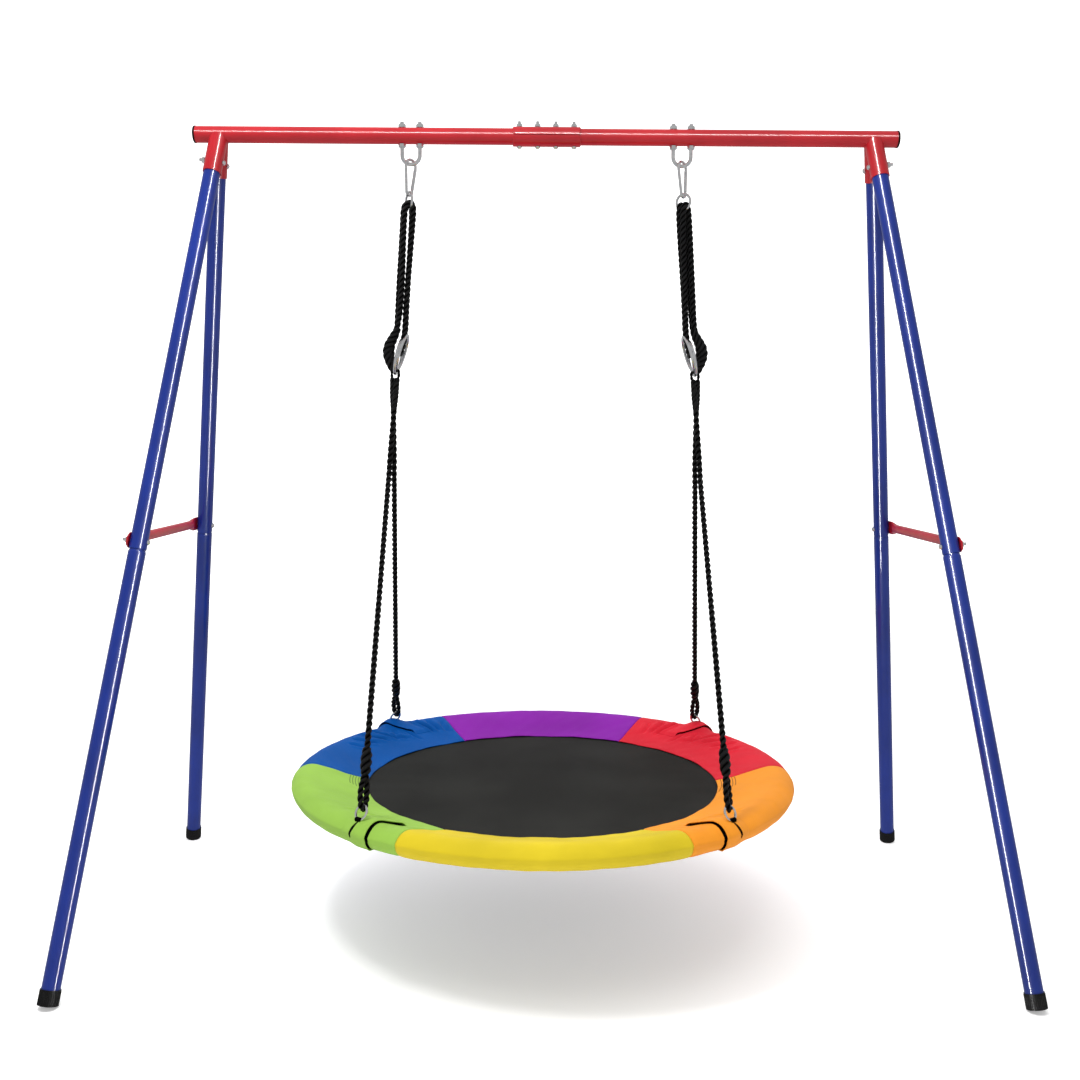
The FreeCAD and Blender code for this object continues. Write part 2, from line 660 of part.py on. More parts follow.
def upper_rope(name, side, label, strand):
    """One strand of the doubled upper rope: up its inner leg, over the link, down its outer leg."""
    radius = size("rope_diameter") / 2
    link_low = link_centre(side).z - size("link_radius")
    bend = size("link_wire") / 2 + radius + 1.4
    top = link_low + bend + 1.1
    points = [
        strand_point(side, label, strand, 1168, 1, -9.5),
        strand_point(side, label, strand, 1250, 1, -8.5),
        strand_point(side, label, strand, 1400, 0.4, -bend),
        strand_point(side, label, strand, top, 0, -bend),
        strand_point(side, label, strand, top, 0, bend),
        strand_point(side, label, strand, 1400, 0.4, bend),
        strand_point(side, label, strand, 1235, 1, 7.5),
        strand_point(side, label, strand, 1192, 1, 8.5),
        strand_point(side, label, strand, 1160, 1, 21.5),
        strand_point(side, label, strand, 1118, 1, 14.5),
    ]
    shape = round_route(points, size("rope_diameter"), name, {3: bend * 0.99, 4: bend * 0.99})
    own_shape(name, shape)


def strap_place(name):
    """The frame of a strap on the rim's core: local Z up and leaning outwards, local Y along the rim."""
    angle = STRAP_ANGLE[name]
    centre = size("saucer_radius") - size("rim_cover")
    turn = Rotation(Vector(0, 0, 1), angle)
    tilt = Rotation(Vector(0, 1, 0), size("strap_tilt"))
    return Placement(turn.multVec(Vector(centre, 0, 0)) + Vector(0, 0, size("rim_height")), turn.multiply(tilt))


def strap_eye(name):
    """Middle of a strap's eye."""
    return strap_place(name).multVec(Vector(-2, 0, size("rim_cover") + 6.2))


def rope_split(side):
    """Where the two lower ropes of a side part."""
    return Vector(slider_centre(side).x + side * 15.7, 0, size("rope_split_height"))


def ring_pull(name, side):
    """Direction in which a rope pulls its ring, square to the strap's eye."""
    along_rim = strap_place(name).Rotation.multVec(Vector(0, 1, 0))
    pull = rope_split(side) - strap_eye(name)
    pull = pull - along_rim * pull.dot(along_rim)
    return pull.normalize()


def bundle_point(side, depth, z, turn):
    """A point on one of the two lower ropes of a side where they run together.

    The pair crosses from inner to outer side on its way down: turn is in degrees from the front.
    """
    share = (1098 - z) / (1098 - size("rope_split_height"))
    centre = slider_centre(side) + Vector(side * (8.2 + 7.5 * share), 0, 0)
    angle = math.radians(turn)
    offset = Vector(side * math.sin(angle), -math.cos(angle), 0) * (-depth * size("bundle_pitch") / 2)
    return Vector(centre.x, 0, z) + offset


def lower_rope(name, corner, side, depth):
    """A rope from the adjuster rings: down beside its neighbour, then taut to its strap's ring."""
    split = bundle_point(side, depth, size("rope_split_height"), 52)
    reach = 2 * size("ring_radius") + size("ring_wire") / 2 + size("rope_diameter") / 2 - 3.8
    low = strap_eye(corner) + ring_pull(corner, side) * reach
    points = [
        bundle_point(side, depth, 1098, -50),
        bundle_point(side, depth, 1010, 0),
        bundle_point(side, depth, 940, 40),
        split,
        low,
    ]
    own_shape(name, round_route(points, size("rope_diameter"), name))


# ---------------------------------------------------------------- saucer

def turned(points):
    """A profile in the XZ plane turned a full circle about the saucer's axis."""
    face = Part.Face(Part.makePolygon(points + [points[0]]))
    return face.revolve(Vector(0, 0, 0), Vector(0, 0, 1), 360)


def rim_torus(radius):
    centre = size("saucer_radius") - size("rim_cover")
    return Part.makeTorus(centre, radius, Vector(0, 0, size("rim_height")))


def slot_box(name, width, low, high, thickness):
    box = Part.makeBox(thickness, width, high - low, Vector(-thickness / 2 - 2, -width / 2, low))
    box.Placement = strap_place(name)
    return box


def rim_steel():
    """The bent steel tube inside the rim, in four pieces that meet end to end."""
    ring = rim_torus(size("steel_radius")).cut(rim_torus(size("steel_radius") - size("steel_wall")))
    reach = 2 * size("saucer_radius")
    for k in range(2):
        gap = Part.makeBox(2 * reach, size("steel_gap"), 4 * size("rim_cover"),
                           Vector(-reach, -size("steel_gap") / 2, 0))
        gap.rotate(Vector(0, 0, 0), Vector(0, 0, 1), 90 * k)
        gap.translate(Vector(0, 0, size("rim_height") - 2 * size("rim_cover")))
        ring = ring.cut(gap)
    own_shape("rim_steel_tubes", ring)


def rim_foam():
    """The foam sleeve round the steel tube."""
    own_shape("rim_foam_sleeve", rim_torus(size("foam_radius")).cut(rim_torus(size("steel_radius") + 0.2)))


def rim_cover():
    """The padded cover: a sleeve round the rim and a flap that slopes in to the mat."""
    centre = size("saucer_radius") - size("rim_cover")
    thick = size("flap_thickness")
    inner = size("flap_inner_radius")
    low = size("mat_height") + 0.4
    joint = centre - size("rim_cover_bore") * 0.62
    joint_z = size("rim_height") + size("rim_cover_bore") * 0.80
    flap = turned([Vector(inner, 0, low), Vector(joint, 0, joint_z - thick),
                   Vector(joint, 0, joint_z), Vector(inner, 0, low + thick)])
    shape = rim_torus(size("rim_cover")).fuse(flap).cut(rim_torus(size("rim_cover_bore")))
    for name in CORNERS:
        shape = shape.cut(slot_box(name, size("strap_width") + 4, 12, 40, 9))
    own_shape("rim_cover", shape)


def seat_mat():
    """The woven mat: a thin disc held by the rim under the cover's flap."""
    body = doc.addObject("PartDesign::Body", "seat_mat")
    sketch = circle_sketch(body, "seat_mat_outline", "XY_Plane", [(0, 0, "2 * Dimensions.mat_radius")])
    pad(body, "seat_mat_pad", sketch, "Dimensions.mat_thickness")
    body.Placement = Placement(Vector(0, 0, size("mat_height") - size("mat_thickness")), Rotation())
    keep(body, "seat_mat")


def rim_straps():
    """Webbing loops round the rim's core, each with a narrow eye for its ring."""
    straps = []
    rings = []
    foam = size("foam_radius") + 0.6
    wall = size("strap_thickness")
    width = size("strap_width")
    eye = size("strap_eye_width")
    eye_z = size("rim_cover") + 6.2
    for name, (side, _) in CORNERS.items():
        loop = Part.makeCylinder(foam + wall, width, Vector(0, -width / 2, 0), Vector(0, 1, 0))
        hollow = Part.makeCylinder(foam, width, Vector(0, -width / 2, 0), Vector(0, 1, 0))
        neck = Part.makeLoft([_band(width, foam + 0.4), _band(eye, eye_z - 2.0)], True, True)
        tube = Part.makeCylinder(6, eye, Vector(-2, -eye / 2, eye_z), Vector(0, 1, 0))
        bore = Part.makeCylinder(4.2, eye, Vector(-2, -eye / 2, eye_z), Vector(0, 1, 0))
        strap = loop.fuse([neck, tube]).cut(hollow).cut(bore)
        strap.Placement = strap_place(name)
        straps.append(strap)
        pull = ring_pull(name, side)
        centre = strap_eye(name) + pull * (size("ring_radius") - 0.4)
        normal = strap_place(name).Rotation.multVec(Vector(0, 1, 0)).cross(pull)
        rings.append(torus_ring(size("ring_radius"), size("ring_wire"), centre, normal))
    own_shape("rim_straps", Part.makeCompound(straps))
    own_shape("strap_rings", Part.makeCompound(rings))


def _band(width, z):
    """A strap's cross-section at a height."""
    half = 2.2
    corners = [Vector(-2 - half, -width / 2, z), Vector(-2 + half, -width / 2, z),
               Vector(-2 + half, width / 2, z), Vector(-2 - half, width / 2, z)]
    return Part.makePolygon(corners + [corners[0]])


# ---------------------------------------------------------------- assembly

for label, side in SIDES.items():
    beam_tube("beam_tube_" + label, side)
    beam_end_cap("beam_end_cap_" + label, side)
    brace("brace_" + label, side)
    eye_bolt("eye_bolt_" + label, side)
    hook("snap_hook_" + label, side, label)
    gate("hook_gate_" + label, "hook_gate_pins_" + label, side, label)
    round_link("round_link_" + label, side, label)
    slider_rings("adjuster_rings_" + label, side)
    for strand, place in ((-1, "front"), (1, "back")):
        upper_rope("upper_rope_%s_%s" % (label, place), side, label, strand)

for corner, (side, depth) in CORNERS.items():
    leg_socket("leg_socket_" + corner, side, depth)
    upper_leg("upper_leg_" + corner, side, depth)
    lower_leg("lower_leg_" + corner, side, depth)
    foot_cap("foot_cap_" + corner, side, depth)
    lower_rope("lower_rope_" + corner, corner, side, depth)

splice_shell("splice_shell_top", 1)
splice_shell("splice_shell_bottom", -1)
splice_fasteners()
leg_fasteners()
eye_nuts()
rim_steel()
rim_foam()
rim_cover()
seat_mat()
rim_straps()

doc.recompute()
for item in doc.Objects:
    if "Invalid" in item.State or "Error" in item.State:
        raise RuntimeError("%s failed: %s" % (item.Name, item.State))
os.makedirs("parts", exist_ok=True)
for part in parts:
    shape = part.Shape
    if shape.isNull() or not shape.isValid():
        raise RuntimeError("%s has no valid shape" % part.Label)
    print("%-28s %d solid(s) %10.0f mm3" % (part.Label, len(shape.Solids), shape.Volume))
for part in parts:
    part.Shape.exportStep("parts/%s.step" % part.Label)
print(len(parts), "parts")
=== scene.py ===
import json
import math
import bpy
from mathutils import Matrix, Vector


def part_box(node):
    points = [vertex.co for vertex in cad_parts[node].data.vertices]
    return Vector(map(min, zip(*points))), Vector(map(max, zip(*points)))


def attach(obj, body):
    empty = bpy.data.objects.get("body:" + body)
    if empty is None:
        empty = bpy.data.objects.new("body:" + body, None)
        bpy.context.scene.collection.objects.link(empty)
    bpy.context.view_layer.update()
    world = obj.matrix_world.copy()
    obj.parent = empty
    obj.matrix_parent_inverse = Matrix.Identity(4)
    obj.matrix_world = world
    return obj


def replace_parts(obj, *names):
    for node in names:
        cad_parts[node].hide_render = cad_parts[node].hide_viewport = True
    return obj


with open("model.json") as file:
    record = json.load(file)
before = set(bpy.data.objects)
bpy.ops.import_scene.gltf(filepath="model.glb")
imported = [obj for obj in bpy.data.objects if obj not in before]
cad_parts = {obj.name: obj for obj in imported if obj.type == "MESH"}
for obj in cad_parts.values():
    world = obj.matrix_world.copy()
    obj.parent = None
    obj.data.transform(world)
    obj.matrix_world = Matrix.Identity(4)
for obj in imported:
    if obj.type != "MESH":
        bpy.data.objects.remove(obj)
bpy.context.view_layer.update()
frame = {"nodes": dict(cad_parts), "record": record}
scene = bpy.context.scene

CORNERS = {"front_left": (-1, -1), "front_right": (1, -1), "back_left": (-1, 1), "back_right": (1, 1)}
SIDES = {"left": -1, "right": 1}
STRAP_ANGLE = {"front_left": 229, "front_right": 312, "back_left": 135, "back_right": 42.5}
LINK_TURN = {"left": -62, "right": -38}

# Saucer sizes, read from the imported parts
cover_low, cover_high = [Vector(corner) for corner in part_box("rim_cover")]
SAUCER_RADIUS = cover_high.x
CORE_RADIUS = SAUCER_RADIUS - 0.023
CORE_Z = (cover_low.z + cover_high.z) / 2
mat_high = Vector(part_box("seat_mat")[1])
MAT_RADIUS = mat_high.x
MAT_TOP = mat_high.z


# ---------------------------------------------------------------- materials

def new_material(name, color, roughness, metallic=0.0):
    """A principled material with its plain values set on the shader's own sockets."""
    material = bpy.data.materials.new(name)
    material.use_nodes = True
    shader = material.node_tree.nodes["Principled BSDF"]
    shader.inputs["Base Color"].default_value = (*color, 1)
    shader.inputs["Roughness"].default_value = roughness
    shader.inputs["Metallic"].default_value = metallic
    return material, shader


def add_node(material, kind):
    return material.node_tree.nodes.new(kind)


def link(material, source, output, target, socket):
    material.node_tree.links.new(source.outputs[output], target.inputs[socket])


def object_noise(material, scale, detail):
    """Noise fixed to the object."""
    place = add_node(material, "ShaderNodeTexCoord")
    noise = add_node(material, "ShaderNodeTexNoise")
    noise.inputs["Scale"].default_value = scale
    noise.inputs["Detail"].default_value = detail
    link(material, place, "Object", noise, "Vector")
    return noise


def ramp(material, source, output, low, high, start=0.35, end=0.65):
    """A colour ramp between two colours driven by a texture."""
    node = add_node(material, "ShaderNodeValToRGB")
    node.color_ramp.elements[0].position = start
    node.color_ramp.elements[0].color = (*low, 1)
    node.color_ramp.elements[1].position = end
    node.color_ramp.elements[1].color = (*high, 1)
    link(material, source, output, node, "Fac")
    return node


def bump(material, shader, source, output, strength, distance, below=None):
    """Relief from a texture, on top of the relief below it if there is one."""
    node = add_node(material, "ShaderNodeBump")
    node.inputs["Strength"].default_value = strength
    node.inputs["Distance"].default_value = distance
    link(material, source, output, node, "Height")
    if below:
        link(material, below, "Normal", node, "Normal")
    link(material, node, "Normal", shader, "Normal")
    return node


def shade(color, factor):
    return tuple(min(1.0, channel * factor) for channel in color)


def paint(name, color):
    """Glossy powder coat: fine orange peel, a clear coat and a little uneven tone."""
    material, shader = new_material(name, color, 0.34)
    shader.inputs["Specular IOR Level"].default_value = 0.2
    shader.inputs["Coat Weight"].default_value = 0.42
    shader.inputs["Coat IOR"].default_value = 1.6
    shader.inputs["Coat Roughness"].default_value = 0.045
    tone = object_noise(material, 9.0, 4.0)
    mix = ramp(material, tone, "Fac", shade(color, 0.86), shade(color, 1.1))
    link(material, mix, "Color", shader, "Base Color")
    peel = object_noise(material, 900.0, 2.0)
    bump(material, shader, peel, "Fac", 0.04, 0.0003)
    rough = object_noise(material, 40.0, 3.0)
    spread = add_node(material, "ShaderNodeMapRange")
    spread.inputs["To Min"].default_value = 0.27
    spread.inputs["To Max"].default_value = 0.42
    link(material, rough, "Fac", spread, "Value")
    link(material, spread, "Result", shader, "Roughness")
    return material


def zinc():
    """Bright zinc plate with faint clouding and a very fine grain."""
    material, shader = new_material("bright_zinc", (0.85, 0.86, 0.87), 0.2, 1.0)
    cloud = object_noise(material, 120.0, 4.0)
    mix = ramp(material, cloud, "Fac", (0.80, 0.81, 0.82), (0.94, 0.95, 0.96))
    link(material, mix, "Color", shader, "Base Color")
    spread = add_node(material, "ShaderNodeMapRange")
    spread.inputs["To Min"].default_value = 0.12
    spread.inputs["To Max"].default_value = 0.26
    link(material, cloud, "Fac", spread, "Value")
    link(material, spread, "Result", shader, "Roughness")
    grain = object_noise(material, 1500.0, 2.0)
    bump(material, shader, grain, "Fac", 0.06, 0.0003)
    return material


def moulded(name, color):
    """Black moulded plastic with a fine matt grain."""
    material, shader = new_material(name, color, 0.42)
    shader.inputs["Specular IOR Level"].default_value = 0.2
    grain = object_noise(material, 1400.0, 3.0)
    bump(material, shader, grain, "Fac", 0.25, 0.0004)
    tone = object_noise(material, 25.0, 3.0)
    mix = ramp(material, tone, "Fac", shade(color, 0.7), shade(color, 1.5))
    link(material, mix, "Color", shader, "Base Color")
    return material


def weave_height(material, threads):
    """The height of a plain weave, from two crossed sets of waves in the surface's own UVs."""
    place = add_node(material, "ShaderNodeUVMap")
    waves = []
    for direction in ("X", "Y"):
        wave = add_node(material, "ShaderNodeTexWave")
        wave.bands_direction = direction
        wave.inputs["Scale"].default_value = threads
        wave.inputs["Distortion"].default_value = 0.6
        wave.inputs["Detail"].default_value = 1.0
        link(material, place, "UV", wave, "Vector")
        waves.append(wave)
    blend = add_node(material, "ShaderNodeMath")
    blend.operation = "MULTIPLY"
    link(material, waves[0], "Fac", blend, 0)
    link(material, waves[1], "Fac", blend, 1)
    return blend


def cover_fabric(name, color):
    """Coated polyester: fine weave, soft blotches, faint rub marks and a low sheen."""
    material, shader = new_material("cover_" + name, color, 0.6)
    shader.inputs["Specular IOR Level"].default_value = 0.12
    blotch = object_noise(material, 7.0, 5.0)
    mix = ramp(material, blotch, "Fac", shade(color, 0.86), shade(color, 1.08), 0.3, 0.7)
    link(material, mix, "Color", shader, "Base Color")
    weave = weave_height(material, 420.0)
    fine = bump(material, shader, weave, 0, 0.22, 0.0003)
    rub = object_noise(material, 60.0, 4.0)
    bump(material, shader, rub, "Fac", 0.22, 0.0016, fine)
    return material


def mat_fabric():
    """Dark coated mat cloth with a visible plain weave."""
    color = (0.017, 0.017, 0.0155)
    material, shader = new_material("mat_cloth", color, 0.75)
    shader.inputs["Specular IOR Level"].default_value = 0.12
    blotch = object_noise(material, 5.0, 4.0)
    mix = ramp(material, blotch, "Fac", shade(color, 0.85), shade(color, 1.2))
    link(material, mix, "Color", shader, "Base Color")
    weave = weave_height(material, 300.0)
    bump(material, shader, weave, 0, 0.35, 0.0005)
    return material


def rope_fibre(name, color, roughness):
    """Black filament yarn with fine streaks along each strand, painted shade in the grooves between
    strands and a painted highlight on each crown.
    """
    material, shader = new_material(name, color, roughness)
    place = add_node(material, "ShaderNodeUVMap")
    split = add_node(material, "ShaderNodeSeparateXYZ")
    link(material, place, "UV", split, "Vector")
    # Painted shade and highlight: darkest on each strand's inner side, in the groove, and paler on its
    # crown.
    crown = ramp(material, split, "Y", shade(color, 0.10), shade(color, 2.6), 0.62, 1.0)
    wave = add_node(material, "ShaderNodeTexWave")
    wave.bands_direction = "Y"
    wave.inputs["Scale"].default_value = 9.0
    wave.inputs["Distortion"].default_value = 2.0
    wave.inputs["Detail"].default_value = 2.0
    link(material, place, "UV", wave, "Vector")
    streak = ramp(material, wave, "Fac", (0.55, 0.55, 0.55), (1, 1, 1), 0.2, 0.9)
    blend = add_node(material, "ShaderNodeMix")
    blend.data_type = "RGBA"
    blend.blend_type = "MULTIPLY"
    blend.inputs[0].default_value = 1.0
    link(material, crown, "Color", blend, 6)
    link(material, streak, "Color", blend, 7)
    link(material, blend, 2, shader, "Base Color")
    gloss = add_node(material, "ShaderNodeMapRange")
    gloss.inputs["From Min"].default_value = 0.55
    gloss.inputs["From Max"].default_value = 1.0
    gloss.inputs["To Min"].default_value = 0.02
    gloss.inputs["To Max"].default_value = 0.22
    link(material, split, "Y", gloss, "Value")
    link(material, gloss, "Result", shader, "Specular IOR Level")
    bump(material, shader, wave, "Fac", 0.5, 0.0005)
    return material


RED = (0.36, 0.0065, 0.013)
BLUE = (0.004, 0.020, 0.19)
paints = {"red": paint("red_powder_coat", RED), "blue": paint("blue_powder_coat", BLUE)}
steel = zinc()
plastic = moulded("black_moulding", (0.003, 0.003, 0.003))
rope = rope_fibre("black_rope_yarn", (0.0040, 0.0040, 0.0042), 0.34)
webbing = rope_fibre("black_webbing", (0.008, 0.008, 0.008), 0.7)
foam = new_material("grey_foam", (0.3, 0.3, 0.3), 0.9)[0]
COVER_COLORS = {
    "red": (0.60, 0.016, 0.032), "purple": (0.215, 0.014, 0.33), "blue": (0.0, 0.070, 0.30),
    "green": (0.27, 0.47, 0.070), "yellow": (0.61, 0.47, 0.018), "orange": (0.78, 0.275, 0.022),
}
covers = {name: cover_fabric(name, color) for name, color in COVER_COLORS.items()}
mat_cloth = mat_fabric()


def paint_cad_nodes():
    """Give each carried-over CAD part its finish."""
    by_slot = {"red_paint": paints["red"], "blue_paint": paints["blue"], "zinc_steel": steel,
               "bare_steel": steel, "black_plastic": plastic, "black_rope": rope,
               "black_webbing": webbing, "grey_foam": foam, "cover_fabric": covers["green"],
               "mat_fabric": mat_cloth}
    slots = {part["node"]: part["material_slot"] for part in frame["record"]["subparts"]}
    for node, obj in frame["nodes"].items():
        obj.data.materials.clear()
        obj.data.materials.append(by_slot[slots[node]])


# ---------------------------------------------------------------- mesh helpers

# A strand's radius as a share of the rope's, by the number of strands
STRAND_SHARE = {2: 0.60, 3: 0.48, 4: 0.425}
ROPE_STEP = 0.0022


def mesh_object(name, verts, faces, material, uvs=None):
    """A smooth-shaded mesh object from plain lists; uvs holds one pair per vertex."""
    mesh = bpy.data.meshes.new(name)
    mesh.from_pydata([tuple(v) for v in verts], [], faces)
    mesh.materials.append(material)
    if uvs:
        layer = mesh.uv_layers.new(name="UVMap")
        for loop in mesh.loops:
            layer.data[loop.index].uv = uvs[loop.vertex_index]
    for face in mesh.polygons:
        face.use_smooth = True
    obj = bpy.data.objects.new(name, mesh)
    scene.collection.objects.link(obj)
    return obj


def grid_faces(rows, columns, wrap_columns=False):
    """Quads over a rows-by-columns grid of vertices."""
    faces = []
    last = columns if wrap_columns else columns - 1
    for row in range(rows - 1):
        for column in range(last):
            following = (column + 1) % columns
            faces.append((row * columns + column, row * columns + following,
                          (row + 1) * columns + following, (row + 1) * columns + column))
    return faces


def smooth_step(value, low, high):
    share = min(1.0, max(0.0, (value - low) / (high - low)))
    return share * share * (3 - 2 * share)


def line_length(points):
    return sum((b - a).length for a, b in zip(points, points[1:]))


def walked_lengths(points):
    """The way walked along a line up to each of its points."""
    lengths = [0.0]
    for before, after in zip(points, points[1:]):
        lengths.append(lengths[-1] + (after - before).length)
    return lengths


def route_line(points):
    """The smooth line of a route: a NURBS spline with the route's points as its control points."""
    curve = bpy.data.curves.new("route", "CURVE")
    curve.dimensions = "3D"
    spline = curve.splines.new("NURBS")
    spline.points.add(len(points) - 1)
    for target, point in zip(spline.points, points):
        target.co = (*point, 1)
    spline.order_u = 3
    spline.use_endpoint_u = True
    spline.resolution_u = 16
    holder = bpy.data.objects.new("route", curve)
    scene.collection.objects.link(holder)
    bpy.context.view_layer.update()
    mesh = bpy.data.meshes.new_from_object(holder.evaluated_get(bpy.context.evaluated_depsgraph_get()))
    line = [vertex.co.copy() for vertex in mesh.vertices]
    bpy.data.meshes.remove(mesh)
    bpy.data.objects.remove(holder)
    bpy.data.curves.remove(curve)
    return line


def even_line(points, step):
    """The same line with its points spaced evenly, about a step apart."""
    count = max(2, round(line_length(points) / step))
    lengths = walked_lengths(points)
    line = []
    k = 1
    for n in range(count + 1):
        target = lengths[-1] * n / count
        while k < len(points) - 1 and lengths[k] < target:
            k += 1
        part = (target - lengths[k - 1]) / max(1e-9, lengths[k] - lengths[k - 1])
        line.append(points[k - 1].lerp(points[k], min(1.0, part)))
    return line


def carried_frames(line):
    """Side vectors along a line, turned as little as they can be."""
    frames = []
    side = None
    for k, point in enumerate(line):
        ahead = line[min(k + 1, len(line) - 1)] - line[max(k - 1, 0)]
        ahead.normalize()
        if side is None:
            side = ahead.orthogonal().normalized()
        side = (side - ahead * side.dot(ahead)).normalized()
        frames.append((point, side.copy(), ahead.cross(side)))
    return frames


def strand_verts(line, strands, strand_radius, helix_radius, pitch, sides=8, swell=None):
    """Vertices, faces and UVs of strands laid round a line, each closed at both ends.

    V runs from 0 on a strand's inner side to 1 on its crown.
    """
    frames = carried_frames(line)
    verts = []
    faces = []
    uvs = []
    walked = walked_lengths(line)
    for strand in range(strands):
        core = []
        for (point, side, other), distance in zip(frames, walked):
            factor = swell(distance / walked[-1]) if swell else 1.0
            turn = 2 * math.pi * (distance / pitch + strand / strands)
            out = side * math.cos(turn) + other * math.sin(turn)
            core.append(point + out * helix_radius * factor)
        base = len(verts)
        for (point, side, other), (middle, _, _), distance in zip(carried_frames(core), frames, walked):
            factor = swell(distance / walked[-1]) if swell else 1.0
            outward = (point - middle).normalized()
            for k in range(sides):
                turn = 2 * math.pi * k / sides
                around = side * math.cos(turn) + other * math.sin(turn)
                verts.append(point + around * strand_radius * factor)
                uvs.append((distance * 40, 0.5 + 0.5 * around.dot(outward)))
        faces += [tuple(base + index for index in face) for face in grid_faces(len(line), sides, True)]
        faces.append(tuple(base + k for k in reversed(range(sides))))
        end = base + (len(line) - 1) * sides
        faces.append(tuple(end + k for k in range(sides)))
    return verts, faces, uvs


def laid_rope(name, line, diameter, strands, pitch, swell=None):
    """A laid rope: strands twisted round a line."""
    strand_radius = diameter / 2 * STRAND_SHARE[strands]
    helix_radius = diameter / 2 - strand_radius
    even = even_line(line, ROPE_STEP)
    verts, faces, uvs = strand_verts(even, strands, strand_radius, helix_radius, pitch, swell=swell)
    return mesh_object(name, verts, faces, rope, uvs)


# ---------------------------------------------------------------- saucer cover

# The cover's section as radius and height: under the rim, round the outside, over the top, in to the mat
PROFILE = [
    (0.455, 0.2722), (0.468, 0.2700), (0.480, 0.2680), (0.492, 0.2690), (0.502, 0.2765), (0.5075, 0.2890),
    (0.5055, 0.2960), (0.498, 0.3035), (0.487, 0.3085), (0.472, 0.3095), (0.455, 0.3050), (0.430, 0.2975),
    (0.405, 0.2890), (0.382, 0.2825), (0.364, 0.2787), (0.3585, 0.2772),
]
SEGMENTS = (("red", 0), ("purple", 60), ("blue", 120), ("green", 180), ("yellow", 240), ("orange", 300))
PROFILE_STEPS = 96
SEGMENT_STEPS = 150
SEGMENT_TURN = 60
UV_ROW = 0.0021
COVER_THICKNESS = 0.0014
SEAM_DEPTH = 0.0016
SEAM_WIDTH = 0.0026
CREASE_GAIN = 1.5
RIDGE_GAIN = 0.7
STRAP_REACH = 0.25


def profile_line():
    """The cover's section as an even line from under the rim, round the outside and in to the mat."""
    line = route_line([Vector((radius, 0, height)) for radius, height in PROFILE])
    return [Vector((p.x, 0, p.z)) for p in even_line(line, line_length(line) / PROFILE_STEPS)]


SECTION = profile_line()


def section_normal(row):
    """The outward direction at a row of the section."""
    ahead = SECTION[min(row + 1, len(SECTION) - 1)] - SECTION[max(row - 1, 0)]
    return Vector((ahead.z, 0, -ahead.x)).normalized()


# Creases by each strap: place along the rim, place inwards from the core, heading in degrees,
# length, width and depth, in metres. The heading is 0 along the rim and 90 straight inwards.
BACK_CREASES = (
    (0.098, 0.000, 122, 0.084, 0.0046, 0.0050), (0.134, 0.004, 126, 0.078, 0.0050, 0.0046),
    (0.168, 0.014, 130, 0.066, 0.0055, 0.0040), (0.200, 0.024, 128, 0.050, 0.0055, 0.0028),
    (-0.046, -0.004, 102, 0.078, 0.0050, 0.0048), (-0.078, 0.010, 96, 0.060, 0.0060, 0.0034),
    (0.010, 0.046, 112, 0.050, 0.0044, 0.0036), (0.064, 0.038, 138, 0.056, 0.0046, 0.0034),
    (-0.112, 0.028, 80, 0.052, 0.0066, 0.0024), (0.030, 0.030, 60, 0.040, 0.0050, 0.0020),
)
FRONT_CREASES = (
    (-0.058, 0.016, 74, 0.058, 0.0060, 0.0022), (-0.090, 0.022, 66, 0.048, 0.0070, 0.0016),
    (0.076, 0.030, 100, 0.052, 0.0060, 0.0016), (0.010, 0.040, 96, 0.048, 0.0045, 0.0026),
    (-0.030, 0.044, 108, 0.040, 0.0050, 0.0020),
)
# The side of each strap on which its cover tab ends, as the sign of the turn
TAB_SIDE = {"front_left": 1, "front_right": -1, "back_left": 1, "back_right": -1}


def crease_depth(u, v, creases):
    """How far the cover is pulled in at a place near a strap."""
    depth = 0.0
    for start_u, start_v, heading, length, width, drop in creases:
        angle = math.radians(heading)
        du = u - start_u
        dv = v - start_v
        forward = du * math.cos(angle) + dv * math.sin(angle)
        off = -du * math.sin(angle) + dv * math.cos(angle) + 0.004 * math.sin(forward * 60)
        beyond = max(0.0, -forward, forward - length)
        fade = 1 - smooth_step(abs(forward - length / 2), length * 0.25, length * 0.55)
        depth += CREASE_GAIN * drop * fade * math.exp(-(off / width) ** 2 - (beyond / 0.01) ** 2)
        depth -= RIDGE_GAIN * drop * fade * math.exp(-((abs(off) - 1.9 * width) / width) ** 2)
    return depth


def strap_lift(corner, u, v):
    """How far the webbing underneath lifts the cover near a strap, and the pinch beyond its tab."""
    height = 0.0115 if corner.startswith("back") else 0.0035
    lift = height * math.exp(-((u - 0.010) / 0.026) ** 2 - ((v + 0.006) / 0.024) ** 2)
    return lift - 0.0022 * math.exp(-((u - 0.052) / 0.022) ** 2)


def cover_offset(theta, radius, height):
    """The cover's height above its plain section at an angle and a radius."""
    inward = CORE_RADIUS - radius
    top = smooth_step(height, CORE_Z - 0.005, CORE_Z + 0.010)
    offset = 0.0
    for corner, angle in STRAP_ANGLE.items():
        gap = (theta - angle + 180) % 360 - 180
        u = math.radians(gap) * CORE_RADIUS * TAB_SIDE[corner]
        if abs(u) > STRAP_REACH:
            continue
        creases = BACK_CREASES if corner.startswith("back") else FRONT_CREASES
        offset -= crease_depth(u, inward, creases) * top
        offset += strap_lift(corner, u, inward) * top
    drift = math.radians(theta)
    offset += 0.0004 * math.sin(drift * 23 + radius * 60) * math.sin(drift * 9 + 1.3)
    offset += 0.00018 * math.sin(drift * 61 + radius * 140 + 0.7)
    flap = smooth_step(inward, 0.03, 0.09)
    offset += 0.0012 * flap * math.sin(drift * 14 + 2.1) * math.sin(drift * 5)
    welt = math.degrees(math.atan2(height - CORE_Z, -inward))
    if inward < 0:
        offset -= 0.0013 * math.exp(-((welt - 4) / 4.0) ** 2)
        offset += 0.0007 * math.exp(-((welt - 15) / 8.0) ** 2)
    return offset


